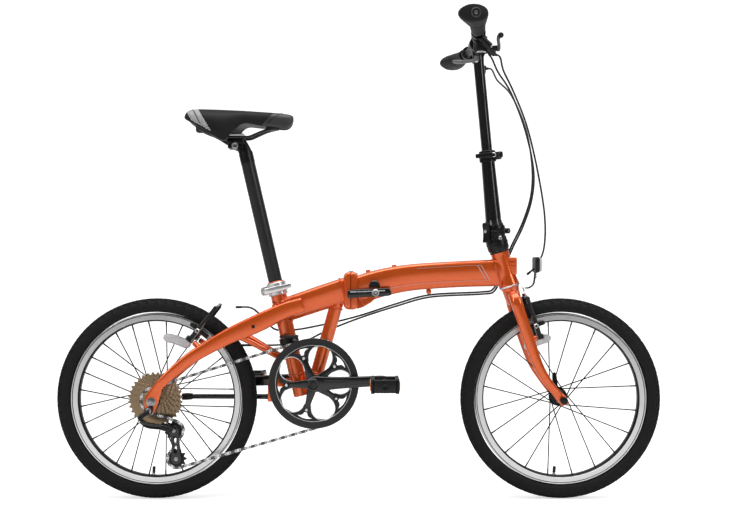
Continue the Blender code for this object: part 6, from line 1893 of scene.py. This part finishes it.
@dataclass
class Transmission:
    """Cassette, chain, derailleur with its cage and pulleys."""

    cogs: tuple = (11, 13, 15, 17, 19, 21, 24, 28, 32)

    def cassette(self) -> None:
        """Make nine sprockets with spacers and a lock ring."""
        piece = Piece("sprocket_stack", *of(BRONZE, PLASTIC, STEEL))
        for number, teeth in enumerate(self.cogs):
            y = CHAIN_Y + 0.0040 * (number - 2)
            piece.add(sprocket(REAR_AXLE, teeth, 0.0150, y - 0.0008, y + 0.0008, 0, 8, 0.11 * number))
            piece.add(lathe(REAR_AXLE, Y, [(y - 0.0020, 0.0060), (y - 0.0020, 0.0182), (y + 0.0020, 0.0182),
                                           (y + 0.0020, 0.0060)],
                            40, True, 1))
        piece.add(lathe(REAR_AXLE, Y, [(-0.0612, 0.0100), (-0.0612, 0.0146), (-0.0592, 0.0160), (-0.0580, 0.0160),
                                       (-0.0580, 0.0100)], 40, True, 2))
        piece.make("cassette", "cassette", slot="sprocket_steel")

    def links(self, line: np.ndarray, piece: Piece) -> None:
        """Lay alternating outer and inner links with rollers at every pitch along a line."""
        step = np.linalg.norm(np.diff(line, axis=0), axis=1)
        along = np.concatenate([[0], np.cumsum(step)])
        count = int(round(along[-1] / CHAIN_PITCH))
        at = along[-1] * np.arange(count + 1) / count
        places = np.stack([np.interp(at, along, line[:, k]) for k in range(2)], axis=1)
        turn = 2 * np.pi * (np.arange(10) + 0.5) / 10
        for number in range(count):
            a, b = places[number], places[number + 1]
            mid, half = (a + b) / 2, (b - a) / 2
            length = float(np.linalg.norm(half))
            tangent, normal = half / length, np.array([-half[1], half[0]]) / length
            waist = 0.0041 * (0.80 + 0.20 * np.abs(np.cos(turn)))
            reach = (length + 0.0034) * np.sign(np.cos(turn)) * np.abs(np.cos(turn)) ** 0.5
            shape = mid + (tangent[None] * reach[:, None] + normal[None] * (waist * np.sin(turn))[:, None])
            outer = number % 2 == 0
            for side in (-1, 1):
                near = side * (0.0021 if outer else 0.0013)
                piece.add(plate(shape, *sorted((CHAIN_Y + near, CHAIN_Y + near + side * 0.0007)), 1, 0.0002,
                                0 if outer else 1))
            if number % 2 == 0:
                for place in (a, b):
                    piece.add(bar((place[0], CHAIN_Y - 0.0031, place[1]), (place[0], CHAIN_Y + 0.0031, place[1]),
                                  0.0018, 8, 1,
                                  0.0002))
            piece.add(bar((a[0], CHAIN_Y - 0.0013, a[1]), (a[0], CHAIN_Y + 0.0013, a[1]), 0.0037, 10, 1, 0.0002))

    def chain(self) -> None:
        """Make the chain: an upper share fixed to the rear frame, a share that rides on the cage, and a lower run left
        unattached.
        """
        wheels = [(CRANK_AXLE, pitch_radius(RING_TEETH), 1), (TENSION_PULLEY, pitch_radius(PULLEY_TEETH), 1),
                  (GUIDE_PULLEY, pitch_radius(PULLEY_TEETH), -1), (REAR_AXLE, pitch_radius(CHAIN_COG_TEETH), 1)]
        parts = chain_loop(wheels)
        lower = Piece("chain_lower_run", *of(LINKS, SILVER))
        self.links(parts[0], lower)
        made = lower.make(None, slot="chain_steel")
        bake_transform(made)
        caged = Piece("chain_in_cage", *of(LINKS, SILVER))
        self.links(np.vstack([parts[1], parts[2], parts[3]]), caged)
        caged.make("derailleur_cage", slot="chain_steel")
        upper = Piece("chain_upper_run", *of(LINKS, SILVER))
        self.links(np.vstack([parts[3][-1:], parts[4], parts[5], parts[6], parts[7], parts[0][:1]]), upper)
        upper.make("rear_frame", "chain", slot="chain_steel")

    def derailleur(self) -> None:
        """Make the hanger bolt, parallelogram body, cage plates and pulleys."""
        body = Piece("derailleur_links", *of(BLACK, GLOSS, STEEL, SILVER))
        body.add(sweep([((-0.4960, -0.0860, 0.2240), 0.0050, 0.0120), ((-0.5110, -0.0874, 0.2150), 0.0060, 0.0140),
                        ((-0.5180, -0.0880, 0.2075), 0.0064, 0.0150)], Y, 24, 3.2, 6, 0))
        body.add(sweep([((-0.5180, -0.0905, 0.2080), 0.0036, 0.0090), ((-0.5000, -0.0885, 0.1960), 0.0034, 0.0095),
                        ((-0.4620, -0.0795, 0.1890), 0.0034, 0.0085)], Y, 20, 3.6, 6, 1))
        body.add(sweep([((-0.5170, -0.0820, 0.2010), 0.0036, 0.0080), ((-0.5000, -0.0800, 0.1880), 0.0034, 0.0085),
                        ((-0.4620, -0.0700, 0.1820), 0.0034, 0.0080)], Y, 20, 3.6, 6, 0))
        body.add(sweep([((-0.4700, -0.0750, 0.1880), 0.0078, 0.0150), ((-0.4560, -0.0715, 0.1835), 0.0080, 0.0160),
                        ((-0.4435, -0.0690, 0.1790), 0.0066, 0.0150)], Y, 24, 3.4, 6, 0))
        body.add(bar((-0.4970, -0.0738, 0.2260), (-0.4970, -0.0895, 0.2260), 0.0090, 30))
        body.add(bolt((-0.4970, -0.0892, 0.2260), -Y, 0.0068, 0.0024, 2))
        for x, y, z in ((-0.5170, -0.0940, 0.2070), (-0.4640, -0.0830, 0.1880)):
            body.add(bolt((x, y, z), -Y, 0.0030, 0.0014, 3))
        body.add(bolt((-0.4435, -0.0758, 0.1790), -Y, 0.0052, 0.0018, 2))
        body.make("rear_frame", "derailleur_body", slot="black_alloy")
        top, low = GUIDE_PULLEY, TENSION_PULLEY
        cage = Piece("cage_plates", *of(GLOSS, SATIN, STEEL))
        turn = np.pi * np.arange(13) / 12
        middle = np.array([(top[0] + low[0]) / 2, (top[2] + low[2]) / 2])
        for near, far, finish in ((-0.0546, -0.0524, 0), (-0.0418, -0.0400, 1)):
            outline = np.vstack([disc_points(top, 0.0122, turn), [middle - (0.0076, 0)],
                                 disc_points(low, 0.0122, turn + np.pi), [middle + (0.0090, 0)]])
            window = middle + (outline - middle) * np.array([0.34, 0.46])
            cage.add(plate(outline, near, far, 1, 0.0005, finish, window))
        for centre in (top, low):
            cage.add(bar(centre - Y * 0.0085, centre + Y * 0.0080, 0.0030, 18, 2))
            cage.add(bolt(centre - Y * 0.0076, -Y, 0.0048, 0.0016, 2))
        cage.make("derailleur_cage", "derailleur_cage", slot="black_alloy")
        for name, centre in (("guide_pulley", top), ("tension_pulley", low)):
            pulley = Piece(f"{name}_wheel", *of(PLASTIC, STEEL))
            pulley.add(sprocket(centre, PULLEY_TEETH, 0.0072, CHAIN_Y - 0.0011, CHAIN_Y + 0.0011, 0, 8))
            pulley.add(lathe(centre, Y, [(-0.0021, 0.0036), (-0.0021, 0.0086), (0.0021, 0.0086), (0.0021, 0.0036)], 30,
                             True, 1))
            pulley.make(name, name, slot="black_plastic")

    def build(self) -> None:
        """Make the transmission."""
        self.cassette()
        self.chain()
        self.derailleur()


# ---------------------------------------------------------------------------
# Rim brakes, stand, cables and reflector
# ---------------------------------------------------------------------------


@dataclass
class Brake:
    """A pair of long-armed rim brakes with pads, springs and, in front, the curved cable tube."""

    end: str
    reach: float
    foot: np.ndarray
    up: np.ndarray
    ahead: np.ndarray

    def arm(self, side: Side) -> None:
        """Make one arm with its pivot bolt, return spring and pad."""
        sign = side.value
        root = self.foot + Y * sign * self.reach
        piece = Piece(f"{self.end}_brake_lever_arm_{side.word}", *of(SATIN, BLACK, STEEL, SILVER, PAD, PLASTIC))
        out = self.ahead
        piece.add(sweep([(root - self.up * 0.0060 + out * 0.001, 0.0058, 0.0068),
                         (root + self.up * 0.0120, 0.0054, 0.0062),
                         (root + self.up * 0.0300, 0.0046, 0.0066), (root + self.up * 0.0500, 0.0039, 0.0054),
                         (self.foot + self.up * 0.0780 + Y * sign * (self.reach - 0.006), 0.0034, 0.0048),
                         (self.foot + self.up * 0.1000 + Y * sign * 0.0300, 0.0033, 0.0052)], out, 20, 3.0, 6, 0))
        piece.add(lathe(root, out, [(-0.0085, 0.0066), (0.0086, 0.0066), (0.0092, 0.0056)], 26, False, 1))
        piece.add(bolt(root + out * 0.0088, out, 0.0058, 0.0030, 2))
        for turnings in (0.0024, 0.0044):
            piece.add(lathe(root - out * 0.0088, out, [(turnings - 0.0008, 0.0066), (turnings, 0.0076),
                                                       (turnings + 0.0008, 0.0066)], 24, True, 2))
        spring = smooth([root - out * 0.0060 + Y * sign * 0.0076,
                         root - out * 0.0060 + Y * sign * 0.0076 + self.up * 0.030,
                         root - out * 0.0040 + Y * sign * 0.0052 + self.up * 0.055], 6)
        piece.add(loft(spring, 0.0009, 0.0009, out, 8, 2.0, 2))
        pad = self.foot + self.up * 0.0280 - out * 0.0010
        piece.add(bar(pad + Y * sign * 0.0210, pad + Y * sign * (self.reach + 0.0085), 0.0034, 18, 2))
        piece.add(lathe(pad, Y * sign, [(self.reach + 0.0030, 0.0062), (self.reach + 0.0075, 0.0062),
                                        (self.reach + 0.0085, 0.0050)], 6, False, 3))
        rows = smooth([(*(pad + Y * sign * 0.0196 - out * 0.0270), 0.0036, 0.0034),
                       (*(pad + Y * sign * 0.0190 - out * 0.0180), 0.0048, 0.0046),
                       (*(pad + Y * sign * 0.0190 + out * 0.0180), 0.0048, 0.0046),
                       (*(pad + Y * sign * 0.0196 + out * 0.0270), 0.0036, 0.0034)], 6)
        piece.add(rounded(rows[:, :3], rows[:, 3], rows[:, 4], self.up, 20, 3.6, 4))
        piece.add(sweep([(pad + Y * sign * 0.0226 - out * 0.0240, 0.0022, 0.0048),
                         (pad + Y * sign * 0.0230, 0.0026, 0.0054),
                         (pad + Y * sign * 0.0226 + out * 0.0240, 0.0022, 0.0048)], self.up, 18, 3.0, 6, 5))
        tip = self.foot + self.up * 0.1000 + Y * sign * 0.0300
        piece.add(bolt(tip + out * 0.0032 - self.up * 0.004, out, 0.0034, 0.0026, 2))
        if side is Side.RIGHT:
            rear_bends, front_bends = ((0.002, 0.002), (0.014, 0.006), (0.020, 0.010)), ((0, 0.001), (0.010, 0.004),
                                                                                         (0.018, 0.012),
                                                                                         (0.0215, 0.024))
            bends, steps = (rear_bends, 6) if self.end == "rear" else (front_bends, 7)
            tube = smooth([tip + Y * across + self.up * rise for across, rise in bends], steps)
            piece.add(loft(tube, 0.0021, 0.0021, out, 14, 2.0, 3))
        else:
            wire = smooth([tip + self.up * 0.001, tip - Y * 0.016 + self.up * 0.004,
                           tip - Y * 0.030 + self.up * 0.006], 5)
            piece.add(loft(wire, 0.0009, 0.0009, out, 8, 2.0, 3))
            for number in range(6):
                piece.add(lathe(tip + self.up * 0.0036, -Y,
                                [(0.0030 + 0.0034 * number, 0.0010), (0.0036 + 0.0034 * number, 0.0032),
                                                             (0.0058 + 0.0034 * number, 0.0032),
                                                             (0.0064 + 0.0034 * number, 0.0010)],
                                16, False, 5))
            tail = smooth([tip - self.up * 0.004, tip - self.up * 0.016 + out * 0.004 + Y * 0.002,
                           tip - self.up * 0.034 + out * 0.006],
                          6)
            piece.add(loft(tail, 0.0008, 0.0008, Y, 8, 2.0, 3))
            piece.add(bar(tail[-4], tail[-1] - self.up * 0.006, 0.0013, 10, 3))
        piece.make(f"{self.end}_brake_arm_{side.word}", f"{self.end}_brake_arm_{side.word}", slot="black_alloy")

    def build(self) -> None:
        """Make both arms."""
        for side in Side:
            self.arm(side)


@dataclass
class SideStand:
    """Folding stand along the left chain stay."""

    def build(self) -> None:
        """Make the pivot block, leg and rubber foot."""
        piece = Piece("stand_leg", *of(GLOSS, STEEL, PLASTIC))
        piece.add(sweep([((-0.2130, 0.0420, 0.2430), 0.0080, 0.0085), ((-0.2260, 0.0424, 0.2430), 0.0074, 0.0076),
                         ((-0.2400, 0.0428, 0.2430), 0.0064, 0.0064), ((-0.3300, 0.0448, 0.2430), 0.0061, 0.0061),
                         ((-0.4250, 0.0468, 0.2430), 0.0060, 0.0060)], Z, 22, 2.2, 6))
        piece.add(sweep([((-0.4150, 0.0466, 0.2430), 0.0072, 0.0076), ((-0.4290, 0.0470, 0.2428), 0.0078, 0.0086),
                         ((-0.4420, 0.0480, 0.2420), 0.0072, 0.0082)], Z, 22, 3.0, 5, 2))
        piece.add(bar((-0.2130, 0.0338, 0.2430), (-0.2130, 0.0488, 0.2430), 0.0090, 30))
        piece.add(bolt((-0.2130, 0.0484, 0.2430), Y, 0.0056, 0.0028, 1))
        piece.make("kickstand", "kickstand", slot="black_alloy")


@dataclass
class Cable:
    """One outer cable; each share lies on one body, or spans two bodies that a joint joins and is left unattached."""

    name: str
    stops: Sequence[Point]
    shares: Sequence[tuple]
    radius: float = 0.0023

    def build(self) -> None:
        """Make the shares, each with its own closed ends, and collars where the cable is held."""
        path = smooth(self.stops, 8)
        for number, (first, last, bodies) in enumerate(self.shares):
            line = path[first * 8:last * 8 + 1]
            piece = Piece(f"{self.name}_share_{number}", *of(HOUSING, PLASTIC))
            reach = np.full(len(line), self.radius)
            piece.add(loft(line, reach, reach, Y + X * 0.3, 12))
            if number == 0:
                piece.add(loft(line[:5], self.radius * 1.45, self.radius * 1.45, Y + X * 0.3, 12, 2.0, 1))
            if number == len(self.shares) - 1:
                piece.add(loft(line[-4:], self.radius * 1.3, self.radius * 1.3, Y + X * 0.3, 12, 2.0, 1))
            nodes = (self.name,) if number == 0 else ()
            if len(bodies) == 1:
                piece.make(bodies[0], *nodes, slot="cable_housing")
                continue
            made = piece.make(None, *nodes, slot="cable_housing")
            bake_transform(made)


def lay_cables() -> None:
    """Lay both brake cables and the gear cable."""
    high, middle = ("bar", "handlepost"), ("handlepost", "fork")
    low, fold = ("fork", "front_frame"), ("front_frame", "rear_frame")
    Cable("front_brake_cable", [(0.3190, -0.0900, 1.0700), (0.336, -0.080, 1.066), (0.346, -0.070, 1.035),
                                (0.372, -0.060, 0.985), (0.405, -0.050, 0.905),
                                (0.432, -0.040, 0.800), (0.452, -0.025, 0.690), (0.452, -0.012, 0.610),
                                (0.434, 0.002, 0.568),
                                (0.413, 0.000, 0.548)], [(0, 4, high), (4, 7, middle), (7, 9, ("fork",))]).build()
    shared = [(0.408, -0.016, 0.900), (0.424, -0.010, 0.810), (0.424, 0.012, 0.740), (0.406, 0.030, 0.675),
              (0.382, 0.040, 0.622),
              (0.366, 0.041, 0.585), (0.350, 0.036, 0.545), (0.332, 0.018, 0.512), (0.300, 0.006, 0.505),
              (0.175, 0.004, 0.498),
              (0.092, 0.006, 0.476), (0.000, 0.012, 0.446)]
    Cable("rear_brake_cable", [(0.3190, 0.0900, 1.0700), (0.336, 0.080, 1.066), (0.348, 0.060, 1.035),
                               (0.378, 0.020, 0.990)] + shared
          + [(-0.085, 0.030, 0.424), (-0.160, 0.036, 0.410), (-0.208, 0.028, 0.412), (-0.236, 0.012, 0.442),
             (-0.264, 0.002, 0.466), (-0.302, 0.000, 0.468)],
          [(0, 4, high), (4, 8, middle), (8, 11, low), (11, 14, ("front_frame",)), (14, 16, fold),
           (16, 21, ("rear_frame",))]).build()
    beside = [(x + 0.002, y - 0.0070, z - 0.0050) for x, y, z in shared[1:]]
    Cable("shift_cable", [(0.3080, -0.0820, 1.0770), (0.3190, -0.0800, 1.0580), (0.332, -0.078, 1.030),
                          (0.365, -0.058, 0.985), (0.403, -0.031, 0.900)]
          + beside + [(-0.080, 0.024, 0.408), (-0.140, 0.034, 0.380), (-0.200, 0.040, 0.372), (-0.300, 0.030, 0.372)],
          [(0, 4, high), (4, 8, middle), (8, 11, low), (11, 14, ("front_frame",)), (14, 16, fold),
           (16, 19, ("rear_frame",))]).build()


def front_reflector() -> None:
    """Make the clear reflector on its bent, ringed bracket."""
    piece = Piece("front_reflector_block", *of(PLASTIC, CLEAR))
    piece.add(sweep([((0.4090, 0.0, 0.5150), 0.0080, 0.0018), ((0.4180, 0.0, 0.5160), 0.0076, 0.0018),
                     ((0.4275, 0.0, 0.5230), 0.0072, 0.0018), ((0.4310, 0.0, 0.5350), 0.0072, 0.0018),
                     ((0.4330, 0.0, 0.5560), 0.0080, 0.0020)], X + Z * 0.01, 18, 3.4, 6))
    piece.add(brick((0.4300, -0.0290, 0.5530), (0.4400, 0.0290, 0.5910), 0.0060, 0, 0))
    piece.add(brick((0.4385, -0.0265, 0.5555), (0.4460, 0.0265, 0.5885), 0.0054, 1, 0))
    for number in range(4):
        piece.add(brick((0.4340 - 0.0008, -0.0092, 0.5390 + 0.0040 * number),
                        (0.4362, 0.0092, 0.5408 + 0.0040 * number), 0.0006))
    piece.make("fork", slot="black_plastic")


def main() -> None:
    """Build the studio and every piece of the bicycle."""
    logging.basicConfig(level=logging.WARNING)
    Studio().build()
    Wheel("front", FRONT_AXLE, 20, 0.0285, -0.0285, 2, math.radians(-94.7), math.radians(112)).build()
    Wheel("rear", REAR_AXLE, 28, 0.0340, -0.0185, 3, math.radians(-92.7), math.radians(71)).build()
    for part in (RearFrame(), FrontFrame(), Fork(), Handlepost(), Cockpit(), Saddle(), Cranks(), Transmission(),
                 SideStand()):
        part.build()
    Brake("rear", 0.0410, np.array([-0.4065, 0, 0.3915]), np.array([0.619, 0, 0.785]),
          np.array([-0.785, 0, 0.619])).build()
    Brake("front", 0.0430, np.array([0.4365, 0, 0.3980]), np.array([-0.281, 0, 0.960]),
          np.array([0.960, 0, 0.281])).build()
    lay_cables()
    front_reflector()


if __name__ == "__main__":
    main()
